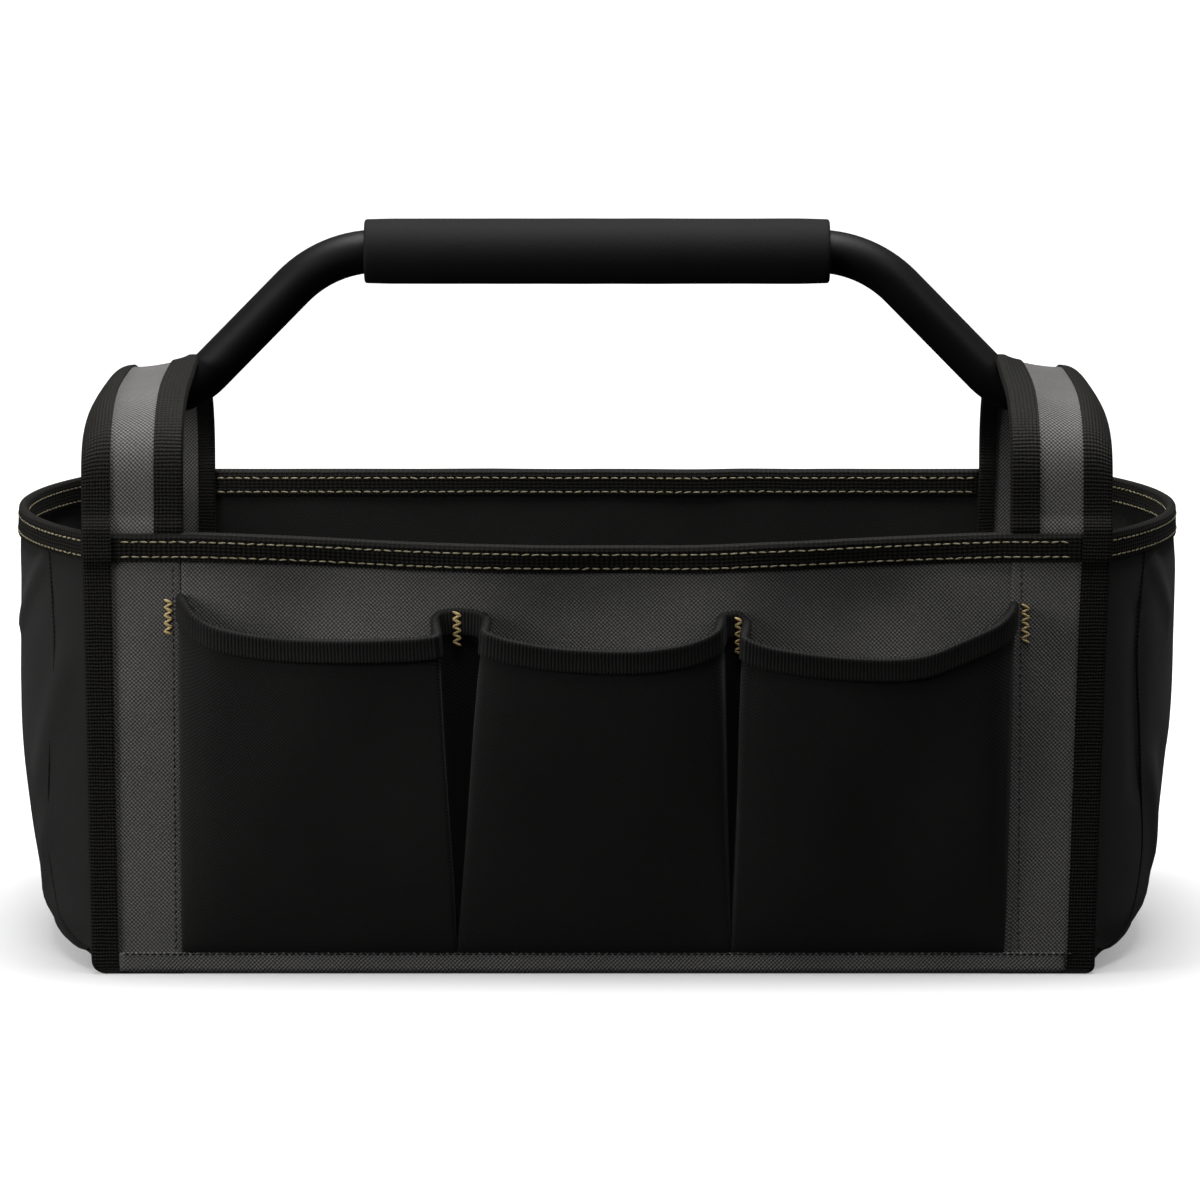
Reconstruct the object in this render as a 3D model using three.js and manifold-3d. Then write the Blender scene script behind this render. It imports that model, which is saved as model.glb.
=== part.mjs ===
// Open top tool tote: a sewn cloth trough with three gathered front pockets and a bent tube handle
// that is carried in two stiff strap loops. Millimetres, +X along the tote, -Y to the front, +Z up,
// origin at the middle of the underside.

import * as THREE from 'three';
import { mergeVertices } from 'three/addons/utils/BufferGeometryUtils.js';
import Module from 'manifold-3d';

// Clearances
const gap = 0.3;

// Cloth and tape thicknesses
const wallThickness = 1.6;
const panelThickness = 1.5;
const strapLayer = 1.5;
const tapeThickness = 1.0;
const layerLap = 0.1;

// The trough
const bodyHalfLength = 213.5;
const bodyDepth = 230;
const rimHeight = 189;
const frontBow = 8;
const rimSag = 5;
const edgeRadius = 8;
const baseThickness = 1.5;
const baseUpturn = 9.3;

// The bulging ends, measured out from the line between the front and back seams
const endBulge = 38.5;
const endCornerGap = 0.8;

// The straps and the tape along their edges
const strapOverhang = 3.5;
const strapWidth = 41.5;
const strapBindingWidth = 14;
const strapInnerLegDrop = 33;
const loopFrontSquareness = 3.8;
const loopBackSquareness = 2.2;
const loopOuterDroop = 11;
const forkRise = 8;
const bindingLip = 0.07;

// The tape round the mouth
const rimTapeHeight = 12.2;
const endTapeSetback = 2.6;

// The handle
const tubeRadius = 9.5;
const gripRadius = 14.3;
const gripSetback = 16;
const gripChamfer = 0.8;
const gripFlare = 0.7;
const gripFlareLength = 9;
const handleHeight = 298;
const handleEndHeight = 235.5;
const lowerCornerInset = 38;
const slopeRun = 61.5;
const upperBendRadius = 52;
const lowerBendRadius = 32;

// The pockets
const pocketSwell = 15;
const pocketTapeHeight = 9.3;
const pocketFoot = 0.6;
const pocketFullness = 0.65;

// Faces
const tubeSides = 16;
const gripSides = 24;
const bendSteps = 5;
const archSteps = 16;
const endSteps = 12;
const frontSteps = 10;
const pocketSteps = 18;

// Worked out from the sizes above
const wallMid = (bodyDepth - wallThickness) / 2;
const wallOut = wallThickness / 2;
const strapOuterEdge = bodyHalfLength + strapOverhang;
const strapInnerEdge = strapOuterEdge - strapWidth;
const strapFace = wallOut + gap + strapLayer;
const panelHalfLength = strapInnerEdge - gap;
const wallTop = rimHeight - tapeThickness - gap;
const loopSpring = rimHeight + forkRise;
const tubeEnd = strapOuterEdge - strapBindingWidth;
const tubeTop = handleEndHeight + tubeRadius;
const lowerCorner = strapOuterEdge - lowerCornerInset;
const upperCorner = lowerCorner - slopeRun;
const loopTop = tubeTop + 2 * gap + tapeThickness + strapLayer - layerLap / 2;
const bodyFloor = baseThickness + gap + wallThickness / 2;
const endSeam = bodyHalfLength + endCornerGap;
const pocketFace = strapFace + gap + panelThickness / 2;
const pocketBase = baseUpturn + pocketFoot;

// The end wall's depth out from its seam line at each height: shares of rimHeight and endBulge
const endSections = [
  { height: 1.0, left: 0.95, right: 0.96 },
  { height: 0.85, left: 0.98, right: 0.97 },
  { height: 0.7, left: 1.0, right: 0.96 },
  { height: 0.45, left: 0.97, right: 0.9 },
  { height: 0.28, left: 0.89, right: 0.84 },
  { height: 0.15, left: 0.79, right: 0.76 },
  { height: 0.07, left: 0.7, right: 0.68 },
  { height: 0.03, left: 0.63, right: 0.6 },
];

// The rounded turn from the end wall to its floor, then the floor: shares of the last section's depth
const endTurn = [
  { drop: 0.7, depth: 0.93 },
  { drop: 1.0, depth: 0.8 },
  { drop: 1.0, depth: 0.4 },
  { drop: 1.0, depth: 0.0 },
];

// Each fold of a pocket's mouth from left to right. mouth and base are shares of panelHalfLength,
// forward of pocketSwell, and height of rimHeight.
const pocketFolds = {
  left: [
    { mouth: -0.985, base: -0.985, forward: 0.0, height: 0.85 },
    { mouth: -0.97, base: -0.98, forward: 0.5, height: 0.835 },
    { mouth: -0.945, base: -0.96, forward: 0.86, height: 0.808 },
    { mouth: -0.89, base: -0.9, forward: 1.0, height: 0.788 },
    { mouth: -0.77, base: -0.77, forward: 1.04, height: 0.768 },
    { mouth: -0.58, base: -0.57, forward: 1.0, height: 0.764 },
    { mouth: -0.42, base: -0.41, forward: 0.94, height: 0.77 },
    { mouth: -0.385, base: -0.37, forward: 0.78, height: 0.785 },
    { mouth: -0.362, base: -0.35, forward: 0.4, height: 0.808 },
    { mouth: -0.344, base: -0.34, forward: 0.0, height: 0.825 },
  ],
  middle: [
    { mouth: -0.328, base: -0.33, forward: 0.0, height: 0.825 },
    { mouth: -0.308, base: -0.322, forward: 0.4, height: 0.808 },
    { mouth: -0.282, base: -0.306, forward: 0.8, height: 0.79 },
    { mouth: -0.24, base: -0.27, forward: 1.0, height: 0.772 },
    { mouth: -0.1, base: -0.1, forward: 1.08, height: 0.745 },
    { mouth: 0.1, base: 0.1, forward: 1.1, height: 0.738 },
    { mouth: 0.22, base: 0.24, forward: 1.0, height: 0.752 },
    { mouth: 0.285, base: 0.29, forward: 0.86, height: 0.778 },
    { mouth: 0.312, base: 0.312, forward: 0.45, height: 0.802 },
    { mouth: 0.33, base: 0.322, forward: 0.0, height: 0.82 },
  ],
  right: [
    { mouth: 0.346, base: 0.332, forward: 0.0, height: 0.82 },
    { mouth: 0.36, base: 0.342, forward: 0.42, height: 0.795 },
    { mouth: 0.378, base: 0.358, forward: 0.8, height: 0.765 },
    { mouth: 0.42, base: 0.4, forward: 1.0, height: 0.742 },
    { mouth: 0.58, base: 0.58, forward: 1.06, height: 0.722 },
    { mouth: 0.73, base: 0.73, forward: 1.04, height: 0.718 },
    { mouth: 0.84, base: 0.84, forward: 0.98, height: 0.752 },
    { mouth: 0.93, base: 0.92, forward: 0.86, height: 0.79 },
    { mouth: 0.965, base: 0.955, forward: 0.5, height: 0.815 },
    { mouth: 0.985, base: 0.975, forward: 0.0, height: 0.835 },
  ],
};

const finishes = {
  greyCloth: { color: 0x4a4847, roughness: 0.85, metalness: 0 },
  blackCloth: { color: 0x1b1a19, roughness: 0.85, metalness: 0 },
  blackTape: { color: 0x15120f, roughness: 0.75, metalness: 0 },
  blackPaint: { color: 0x0a0a0a, roughness: 0.4, metalness: 0.2 },
  foam: { color: 0x1c1a1b, roughness: 0.95, metalness: 0 },
};

const wasm = await Module();
wasm.setup();

function range(from, to, steps) {
  return Array.from({ length: steps + 1 }, (_, i) => from + ((to - from) * i) / steps);
}

// A closed solid from two grids of points, one on each side of the cloth. Each square is split
// along its shorter diagonal, so that cloths laid over each other are split alike.
function clothSolid(outer, inner) {
  const rows = outer.length;
  const columns = outer[0].length;
  const points = [...outer, ...inner].flat();
  const at = (side, row, column) => (side * rows + row) * columns + column;
  const triangles = [];
  const apart = (a, b) => points[a].distanceTo(points[b]);
  const quad = (a, b, c, d) => {
    const split = apart(a, c) <= apart(b, d) ? [a, b, c, a, c, d] : [a, b, d, b, c, d];
    triangles.push(...split);
  };
  for (let row = 0; row < rows - 1; row += 1) {
    for (let column = 0; column < columns - 1; column += 1) {
      quad(at(0, row, column), at(0, row + 1, column), at(0, row + 1, column + 1), at(0, row, column + 1));
      quad(at(1, row, column), at(1, row, column + 1), at(1, row + 1, column + 1), at(1, row + 1, column));
    }
  }
  for (let column = 0; column < columns - 1; column += 1) {
    const end = rows - 1;
    quad(at(0, 0, column), at(0, 0, column + 1), at(1, 0, column + 1), at(1, 0, column));
    quad(at(0, end, column + 1), at(0, end, column), at(1, end, column), at(1, end, column + 1));
  }
  for (let row = 0; row < rows - 1; row += 1) {
    const end = columns - 1;
    quad(at(0, row + 1, 0), at(0, row, 0), at(1, row, 0), at(1, row + 1, 0));
    quad(at(0, row, end), at(0, row + 1, end), at(1, row + 1, end), at(1, row, end));
  }
  return facedOut(points.flatMap((point) => point.toArray()), triangles);
}

// A closed rod through rings of points, with flat ends
function rodSolid(rings) {
  const sides = rings[0].length;
  const points = rings.flat();
  const triangles = [];
  for (let ring = 0; ring < rings.length - 1; ring += 1) {
    for (let k = 0; k < sides; k += 1) {
      const next = (k + 1) % sides;
      const [a, b] = [ring * sides + k, ring * sides + next];
      triangles.push(a, b, b + sides, a, b + sides, a + sides);
    }
  }
  const last = (rings.length - 1) * sides;
  for (let k = 1; k < sides - 1; k += 1) {
    triangles.push(0, k + 1, k);
    triangles.push(last, last + k, last + k + 1);
  }
  return facedOut(points.flatMap((point) => point.toArray()), triangles);
}

// The geometry with its faces turned out, whichever way its grids ran
function facedOut(positions, triangles) {
  const corner = (index) => new THREE.Vector3().fromArray(positions, 3 * index);
  let volume = 0;
  for (let i = 0; i < triangles.length; i += 3) {
    const [a, b, c] = [0, 1, 2].map((k) => corner(triangles[i + k]));
    volume += a.dot(b.cross(c));
  }
  const turned = volume < 0 ? [...triangles].reverse() : triangles;
  const geometry = new THREE.BufferGeometry();
  geometry.setAttribute('position', new THREE.Float32BufferAttribute(positions, 3));
  geometry.setIndex(turned);
  geometry.computeVertexNormals();
  return geometry;
}

function toManifold(geometry) {
  const bare = geometry.clone();
  bare.deleteAttribute('normal');
  bare.deleteAttribute('uv');
  const merged = mergeVertices(bare);
  return new wasm.Manifold(
    new wasm.Mesh({
      numProp: 3,
      vertProperties: new Float32Array(merged.attributes.position.array),
      triVerts: new Uint32Array(merged.index.array),
    }),
  );
}

function fromManifold(solid) {
  const mesh = solid.getMesh();
  const geometry = new THREE.BufferGeometry();
  geometry.setAttribute('position', new THREE.Float32BufferAttribute(mesh.vertProperties, 3));
  geometry.setIndex([...mesh.triVerts]);
  geometry.computeVertexNormals();
  return geometry;
}

function cut(geometry, ...tools) {
  const rest = tools.reduce((solid, tool) => solid.subtract(toManifold(tool)), toManifold(geometry));
  return fromManifold(rest);
}

function join(first, second) {
  return fromManifold(toManifold(first).add(toManifold(second)));
}

function boxBetween(low, high) {
  const size = new THREE.Vector3().subVectors(high, low);
  const middle = new THREE.Vector3().addVectors(low, high).multiplyScalar(0.5);
  return new THREE.BoxGeometry(size.x, size.y, size.z).translate(middle.x, middle.y, middle.z);
}

// How far the front wall leans out between the straps, and how far its rim hangs down there
function middleShare(x) {
  const share = Math.min(Math.abs(x) / strapInnerEdge, 1);
  return (1 - share * share) ** 1.5;
}

function bowAt(x, z) {
  return frontBow * middleShare(x) * (z / rimHeight) ** 1.3;
}

function sagAt(x) {
  return rimSag * middleShare(x);
}

// A place on the front wall: proud is measured out from the middle of the wall's cloth. The
// height is the one that it would have with no sag.
function frontPlace(x, height, proud) {
  const z = height - sagAt(x) * (height / rimHeight) ** 2;
  return new THREE.Vector3(x, -(wallMid + proud + bowAt(x, z)), z);
}

function backPlace(x, height, proud) {
  return new THREE.Vector3(x, wallMid + proud, height);
}

// Where the long walls and what lies on them bend along the tote
function longColumns(halfLength) {
  const bends = range(-strapInnerEdge, strapInnerEdge, frontSteps);
  const within = bends.map((x) => THREE.MathUtils.clamp(x, -halfLength, halfLength));
  return halfLength > strapInnerEdge ? [-halfLength, ...within, halfLength] : within;
}

// The front, floor and back in one run of cloth
function bodyPanel() {
  const heights = range(wallTop, bodyFloor + edgeRadius, 4);
  const turn = range(0, Math.PI / 2, 3).slice(1);
  const place = (x, proud) => {
    const radius = edgeRadius + proud;
    const corner = wallMid - edgeRadius;
    const turned = turn.map((angle) => [
      corner + radius * Math.cos(angle),
      bodyFloor + edgeRadius - radius * Math.sin(angle),
    ]);
    return [
      ...heights.map((height) => frontPlace(x, height, proud)),
      ...turned.map(([y, z]) => new THREE.Vector3(x, -y - bowAt(x, z), z)),
      ...[...turned].reverse().map(([y, z]) => new THREE.Vector3(x, y, z)),
      ...[...heights].reverse().map((height) => backPlace(x, height, proud)),
    ];
  };
  const columns = longColumns(bodyHalfLength);
  return clothSolid(columns.map((x) => place(x, wallOut)), columns.map((x) => place(x, -wallOut)));
}

// A panel laid on the outside of a wall, between the straps
function outerPanel(place) {
  const columns = longColumns(panelHalfLength);
  const heights = range(bodyFloor, wallTop, 4);
  const inside = wallOut + gap;
  const outside = inside + panelThickness;
  return clothSolid(
    columns.map((x) => heights.map((height) => place(x, height, outside))),
    columns.map((x) => heights.map((height) => place(x, height, inside))),
  );
}

// The floor panel with its front and back edges turned up over the walls' outside
function basePanel() {
  const halfLength = strapOuterEdge - strapBindingWidth - gap;
  const outside = wallMid + strapFace + gap + baseThickness;
  const inside = outside - baseThickness;
  const outline = new THREE.Shape([
    new THREE.Vector2(-outside, 0.6 * baseThickness),
    new THREE.Vector2(-outside + 0.6 * baseThickness, 0),
    new THREE.Vector2(outside - 0.6 * baseThickness, 0),
    new THREE.Vector2(outside, 0.6 * baseThickness),
    new THREE.Vector2(outside, baseUpturn),
    new THREE.Vector2(inside, baseUpturn),
    new THREE.Vector2(inside, baseThickness),
    new THREE.Vector2(-inside, baseThickness),
    new THREE.Vector2(-inside, baseUpturn),
    new THREE.Vector2(-outside, baseUpturn),
  ]);
  const geometry = new THREE.ExtrudeGeometry(outline, { depth: 2 * halfLength, bevelEnabled: false });
  return geometry.rotateX(Math.PI / 2).rotateZ(Math.PI / 2).translate(-halfLength, 0, 0);
}

// A place on an end wall. turn runs from -1 at the front seam to 1 at the back seam, on an arc
// whose depth is given, and proud is measured out from the middle of the cloth.
function endPlace(side, turn, depth, height, proud) {
  const halfChord = wallMid;
  const bulge = Math.max(depth, 0.01);
  const radius = (halfChord ** 2 + bulge ** 2) / (2 * bulge);
  const angle = turn * Math.asin(halfChord / radius);
  const x = endSeam + bulge - radius + (radius + proud) * Math.cos(angle);
  return new THREE.Vector3(side * x, (radius + proud) * Math.sin(angle), height);
}

function endDepth(side, share) {
  const column = side < 0 ? 'left' : 'right';
  const above = Math.max(endSections.findIndex((row) => row.height <= share), 1);
  const [upper, lower] = [endSections[above - 1], endSections[above]];
  const mix = (share - lower.height) / (upper.height - lower.height);
  return endBulge * THREE.MathUtils.lerp(lower[column], upper[column], mix);
}

// An end wall: upright arcs that turn under at the foot and close as a floor
function endPanel(side) {
  const turns = range(-1, 1, endSteps);
  const foot = endSections.at(-1).height;
  const footDepth = endDepth(side, foot);
  const footHeight = foot * rimHeight;
  const floor = bodyFloor;
  const half = panelThickness / 2;
  const walls = endSections.map((row) => ({
    depth: endDepth(side, row.height),
    height: Math.min(row.height * rimHeight, wallTop),
    out: 1,
    down: 0,
  }));
  const under = endTurn.map((row) => ({
    depth: footDepth * row.depth,
    height: footHeight - (footHeight - floor) * row.drop,
    out: row.drop < 1 ? 0.7 : 0,
    down: row.drop < 1 ? 0.7 : 1,
  }));
  const grid = (face) => [...walls, ...under].map((row) => turns.map((turn) => {
    const point = endPlace(side, turn, row.depth, row.height, face * half * row.out);
    return point.setZ(point.z - face * half * row.down);
  }));
  return clothSolid(grid(1), grid(-1));
}

// The middle line of a strap, from its foot at the front, over the tube, to its foot at the back
function strapLine() {
  const feet = bodyFloor;
  const legHeights = [
    feet, 0.3 * rimHeight, 0.6 * rimHeight, rimHeight - strapInnerLegDrop, rimHeight - rimTapeHeight - 4,
    rimHeight - rimTapeHeight - gap, rimHeight + gap, loopSpring,
  ];
  const span = wallMid;
  const rise = loopTop - loopSpring;
  const leg = legHeights.map((z) => ({ y: -span, z }));
  const arch = range(0, Math.PI, archSteps).slice(1, -1).map((angle) => {
    const front = angle < Math.PI / 2;
    const power = 2 / (front ? loopFrontSquareness : loopBackSquareness);
    return {
      y: (front ? -1 : 1) * span * Math.abs(Math.cos(angle)) ** power,
      z: loopSpring + rise * Math.sin(angle) ** power,
    };
  });
  const line = [...leg, ...arch, ...leg.map(({ y, z }) => ({ y: -y, z })).reverse()];
  return line.map((point, i) => {
    const before = line[Math.max(i - 1, 0)];
    const after = line[Math.min(i + 1, line.length - 1)];
    const length = Math.hypot(after.y - before.y, after.z - before.z);
    return {
      ...point,
      outY: -(after.z - before.z) / length,
      outZ: (after.y - before.y) / length,
      top: Math.max((point.z - loopSpring) / rise, 0),
    };
  });
}

// The height of the tube's upper side over its level end, at a distance x from the middle
function tubeRise(x) {
  const slope = Math.atan2(handleHeight - handleEndHeight, lowerCorner - upperCorner);
  const bendStart = lowerCorner + lowerBendRadius * Math.tan(slope / 2);
  const radius = lowerBendRadius - tubeRadius;
  const into = Math.max(bendStart - x, 0);
  const bend = Math.min(into, radius * Math.sin(slope));
  return radius - Math.sqrt(radius ** 2 - bend ** 2) + (into - bend) * Math.tan(slope);
}

// A place on a strap: x is its distance from the middle of the tote, proud is measured out from
// the middle of the two layers. The tube's bend lifts the inner edge and the outer edge droops
// past the tube's end.
function strapPlace(side, point, x, proud) {
  const overTube = Math.exp(-((point.y / (3 * tubeRadius)) ** 2)) * point.top;
  const pastEnd = Math.max(x - tubeEnd, 0) / (strapOuterEdge - tubeEnd);
  const lift = tubeRise(x) * overTube - loopOuterDroop * pastEnd ** 1.4 * point.top ** 2;
  return new THREE.Vector3(side * x, point.y + point.outY * proud, point.z + point.outZ * proud + lift);
}

// 0 where the layers of a strap are apart round the wall, 1 where they are together
function forkShare(z) {
  return THREE.MathUtils.smoothstep(z, rimHeight + gap, loopSpring);
}

// How far each layer of a strap stands off the middle line: round the wall below, together above
function layerStand(z) {
  const together = (strapLayer - layerLap) / 2;
  const apart = wallOut + gap + strapLayer / 2;
  return THREE.MathUtils.lerp(apart, together, forkShare(z));
}

// Where the cloth bends across a strap. Its bindings bend at the same places, so that they lie on it.
const bindingReach = [strapBindingWidth, strapBindingWidth / 2];

function strapColumns() {
  return [
    strapInnerEdge,
    ...[...bindingReach].reverse().map((reach) => strapInnerEdge + reach),
    ...bindingReach.map((reach) => strapOuterEdge - reach),
    strapOuterEdge,
  ];
}

function strapSheet(side, points, sign) {
  const grid = (face) => points.map((point) => strapColumns().map((x) => {
    const proud = sign * layerStand(point.z) + face * (strapLayer / 2);
    return strapPlace(side, point, x, proud);
  }));
  return clothSolid(grid(1), grid(-1));
}

// Two layers sewn together over the tube. The outer one runs down the outside to the foot, the
// inner one ends a little way down inside the wall.
function strap(side) {
  const line = strapLine();
  const legEnd = rimHeight - strapInnerLegDrop;
  const outerLayer = strapSheet(side, line, 1);
  const innerLayer = strapSheet(side, line.filter((point) => point.z >= legEnd), -1);
  const xs = [side * (bodyHalfLength - gap), side * (strapOuterEdge + gap)].sort((a, b) => a - b);
  const low = new THREE.Vector3(xs[0], -bodyDepth, 0);
  const high = new THREE.Vector3(xs[1], bodyDepth, loopSpring);
  return join(outerLayer, cut(innerLayer, boxBetween(low, high)));
}

// Tape folded over one edge of a strap. The outer edge's tape runs to the foot over the rim tape,
// with only a lip behind it below the fork.
function strapBinding(side, atOuterEdge) {
  const edge = atOuterEdge ? strapOuterEdge : strapInnerEdge;
  const inward = atOuterEdge ? -1 : 1;
  const lowest = atOuterEdge ? 0 : rimHeight + gap;
  const line = strapLine().filter((point) => point.z >= lowest);
  const section = (point) => {
    const together = forkShare(point.z);
    const besideTape = point.z > rimHeight - rimTapeHeight - 2 * gap ? tapeThickness + gap : 0;
    const below = strapFace + gap + besideTape;
    const stand = layerStand(point.z) + strapLayer / 2 + gap;
    const outside = atOuterEdge ? THREE.MathUtils.lerp(below, stand, together) : stand;
    const behind = atOuterEdge ? THREE.MathUtils.lerp(wallOut, -stand, together) : -stand;
    const lipBehind = point.z <= loopSpring && atOuterEdge;
    const backReach = lipBehind ? bindingReach.map((reach) => reach * bindingLip) : bindingReach;
    const place = (depth, proud) => strapPlace(side, point, edge + inward * depth, proud);
    const fold = (thickness) => [
      ...bindingReach.map((reach) => place(reach, outside + thickness)),
      place(-gap - thickness, outside + thickness),
      place(-gap - thickness, behind - thickness),
      ...backReach.map((reach) => place(reach, behind - thickness)).reverse(),
    ];
    const under = fold(0);
    const over = fold(tapeThickness);
    return { over, under };
  };
  const sections = line.map(section);
  return clothSolid(sections.map((s) => s.over), sections.map((s) => s.under));
}

// Tape folded over an upper edge. Each station places a height and a distance out of the cloth.
function foldedTape(stations, top, leg, outside, inside) {
  const over = (place) => [
    place(top - leg, outside + tapeThickness),
    place(top, outside + tapeThickness),
    place(top, inside - tapeThickness),
    place(top - leg, inside - tapeThickness),
  ];
  const under = (place) => [
    place(top - leg, outside),
    place(top - tapeThickness, outside),
    place(top - tapeThickness, inside),
    place(top - leg, inside),
  ];
  return clothSolid(stations.map(over), stations.map(under));
}

// The tape along the front or back rim. Where a strap passes, only its outer half runs on.
function longRimTape(wallPlace) {
  const columns = longColumns(strapOuterEdge - gap);
  const stations = columns.map((x) => (height, proud) => wallPlace(x, height, proud));
  const inside = -(wallOut + gap);
  const outside = strapFace + gap;
  const tape = foldedTape(stations, rimHeight, rimTapeHeight, outside, inside);
  const slotStart = strapInnerEdge - 2 * gap - tapeThickness;
  const slots = [-1, 1].map((side) => {
    const reach = wallMid + outside;
    const xs = [side * slotStart, side * (strapOuterEdge + gap)].sort((a, b) => a - b);
    const low = new THREE.Vector3(xs[0], -reach, 0);
    const high = new THREE.Vector3(xs[1], reach, rimHeight + 1);
    return boxBetween(low, high);
  });
  return cut(tape, ...slots);
}

function endRimTape(side) {
  const reach = 1 - endTapeSetback / wallMid;
  const stations = range(-reach, reach, endSteps).map((turn) => (height, proud) => {
    const depth = endDepth(side, height / rimHeight);
    return endPlace(side, turn, depth, height, proud);
  });
  const clear = panelThickness / 2 + gap;
  return foldedTape(stations, rimHeight, rimTapeHeight, clear, -clear);
}

// The mouth line of a pocket, as evenly spaced rows between the folds of its table
function pocketRows(folds) {
  const curve = (name) => {
    const points = folds.map((fold, i) => new THREE.Vector2(i / (folds.length - 1), fold[name]));
    return new THREE.SplineCurve(points);
  };
  const [mouth, base, forward, height] = ['mouth', 'base', 'forward', 'height'].map(curve);
  return range(0, 1, pocketSteps).map((u) => ({
    mouth: mouth.getPoint(u).y,
    base: base.getPoint(u).y,
    forward: Math.max(forward.getPoint(u).y, 0),
    height: height.getPoint(u).y,
  }));
}

// A place on a pocket: up runs from 0 at its foot to 1 at its mouth
function pocketPlace(rows, i, up, proud) {
  const at = (index) => {
    const row = rows[THREE.MathUtils.clamp(index, 0, rows.length - 1)];
    const x = panelHalfLength * THREE.MathUtils.lerp(row.base, row.mouth, up);
    const top = rimHeight * row.height;
    const height = THREE.MathUtils.lerp(pocketBase, top, up);
    const forward = pocketSwell * row.forward * up ** pocketFullness;
    return { x, height, stand: pocketFace + forward + bowAt(x, height) };
  };
  const here = at(i);
  const before = at(i - 1);
  const after = at(i + 1);
  const along = new THREE.Vector2(after.x - before.x, after.stand - before.stand).normalize();
  const x = here.x - along.y * proud;
  const stand = here.stand + along.x * proud;
  return new THREE.Vector3(x, -(wallMid + stand), here.height);
}

function pocket(folds) {
  const rows = pocketRows(folds);
  const ups = range(0, 1, 5);
  const half = panelThickness / 2;
  const grid = (face) => rows.map((_, i) => ups.map((up) => pocketPlace(rows, i, up, face * half)));
  return clothSolid(grid(1), grid(-1));
}

function pocketTape(folds) {
  const rows = pocketRows(folds);
  const clear = panelThickness / 2 + gap;
  const freeOfPanel = (row) => row.forward * pocketSwell > clear + tapeThickness + gap;
  const stations = rows.map((row, i) => ({ row, i })).filter(({ row }) => freeOfPanel(row));
  const span = rimHeight * folds[0].height - pocketBase;
  const toUp = (height) => 1 + height / span;
  const places = stations.map(({ i }) => (height, proud) => pocketPlace(rows, i, toUp(height), proud));
  return foldedTape(places, tapeThickness + gap, pocketTapeHeight, clear, -clear);
}

// The middle line of the tube: level, down through two bends on each side, level to its ends
function tubeLine() {
  const slope = Math.atan2(handleHeight - handleEndHeight, lowerCorner - upperCorner);
  const arc = (cornerX, cornerZ, radius, lower) => range(0, slope, bendSteps).map((angle) => {
    const reach = radius * Math.tan(slope / 2);
    if (lower) {
      const turn = slope - angle;
      return {
        x: cornerX + reach - radius * Math.sin(turn),
        z: cornerZ + radius * (1 - Math.cos(turn)),
        angle: turn,
      };
    }
    return {
      x: cornerX - reach + radius * Math.sin(angle),
      z: cornerZ - radius * (1 - Math.cos(angle)),
      angle,
    };
  });
  const right = [
    ...arc(upperCorner, handleHeight, upperBendRadius, false),
    ...arc(lowerCorner, handleEndHeight, lowerBendRadius, true),
    { x: tubeEnd, z: handleEndHeight, angle: 0 },
  ];
  const left = right.map(({ x, z, angle }) => ({ x: -x, z, angle: -angle })).reverse();
  return [...left, ...right];
}

function handleTube() {
  const rings = tubeLine().map(({ x, z, angle }) => range(0, 2 * Math.PI, tubeSides)
    .slice(0, -1)
    .map((around) => {
      const across = tubeRadius * Math.cos(around);
      return new THREE.Vector3(
        x + across * Math.sin(angle),
        tubeRadius * Math.sin(around),
        z + across * Math.cos(angle),
      );
    }));
  return rodSolid(rings);
}

function foamGrip() {
  const half = upperCorner - gripSetback;
  const bore = tubeRadius + gap;
  const profile = [
    [bore + gripFlare, -half],
    [gripRadius - gripChamfer, -half],
    [gripRadius, -half + gripChamfer],
    [gripRadius, half - gripChamfer],
    [gripRadius - gripChamfer, half],
    [bore + gripFlare, half],
    [bore, half - gripFlareLength],
    [bore, -half + gripFlareLength],
    [bore + gripFlare, -half],
  ].map(([radius, along]) => new THREE.Vector2(radius, along));
  return new THREE.LatheGeometry(profile, gripSides).rotateZ(Math.PI / 2);
}

const tote = new THREE.Group();

function add(name, geometry, finish) {
  const mesh = new THREE.Mesh(geometry, new THREE.MeshStandardMaterial(finish));
  mesh.name = name;
  tote.add(mesh);
  return mesh;
}

add('body_panel', bodyPanel(), finishes.blackCloth);
add('front_panel', outerPanel(frontPlace), finishes.greyCloth);
add('back_panel', outerPanel(backPlace), finishes.greyCloth);
add('base_panel', basePanel(), finishes.greyCloth);
add('rim_tape_front', longRimTape(frontPlace), finishes.blackTape);
add('rim_tape_back', longRimTape(backPlace), finishes.blackTape);

for (const [name, side] of [['left', -1], ['right', 1]]) {
  add(`end_panel_${name}`, endPanel(side), finishes.blackCloth);
  add(`rim_tape_${name}`, endRimTape(side), finishes.blackTape);
  add(`strap_${name}`, strap(side), finishes.greyCloth);
  add(`strap_outer_binding_${name}`, strapBinding(side, true), finishes.blackTape);
  add(`strap_inner_binding_${name}`, strapBinding(side, false), finishes.blackTape);
}

for (const [name, folds] of Object.entries(pocketFolds)) {
  add(`pocket_${name}`, pocket(folds), finishes.blackCloth);
  add(`pocket_tape_${name}`, pocketTape(folds), finishes.blackTape);
}

add('handle_tube', handleTube(), finishes.blackPaint);
add('foam_grip', foamGrip(), finishes.foam).position.set(0, 0, handleHeight);

export default tote;
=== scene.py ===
"""Open top tool tote: a sewn cloth trough with three gathered pockets on its front and a bent tube
handle carried in two strap loops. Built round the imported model, in metres, in the same frame."""

import math

import bmesh
import bpy
from bpy.props import FloatProperty, FloatVectorProperty, PointerProperty
from mathutils import Matrix, Vector, noise


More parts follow.
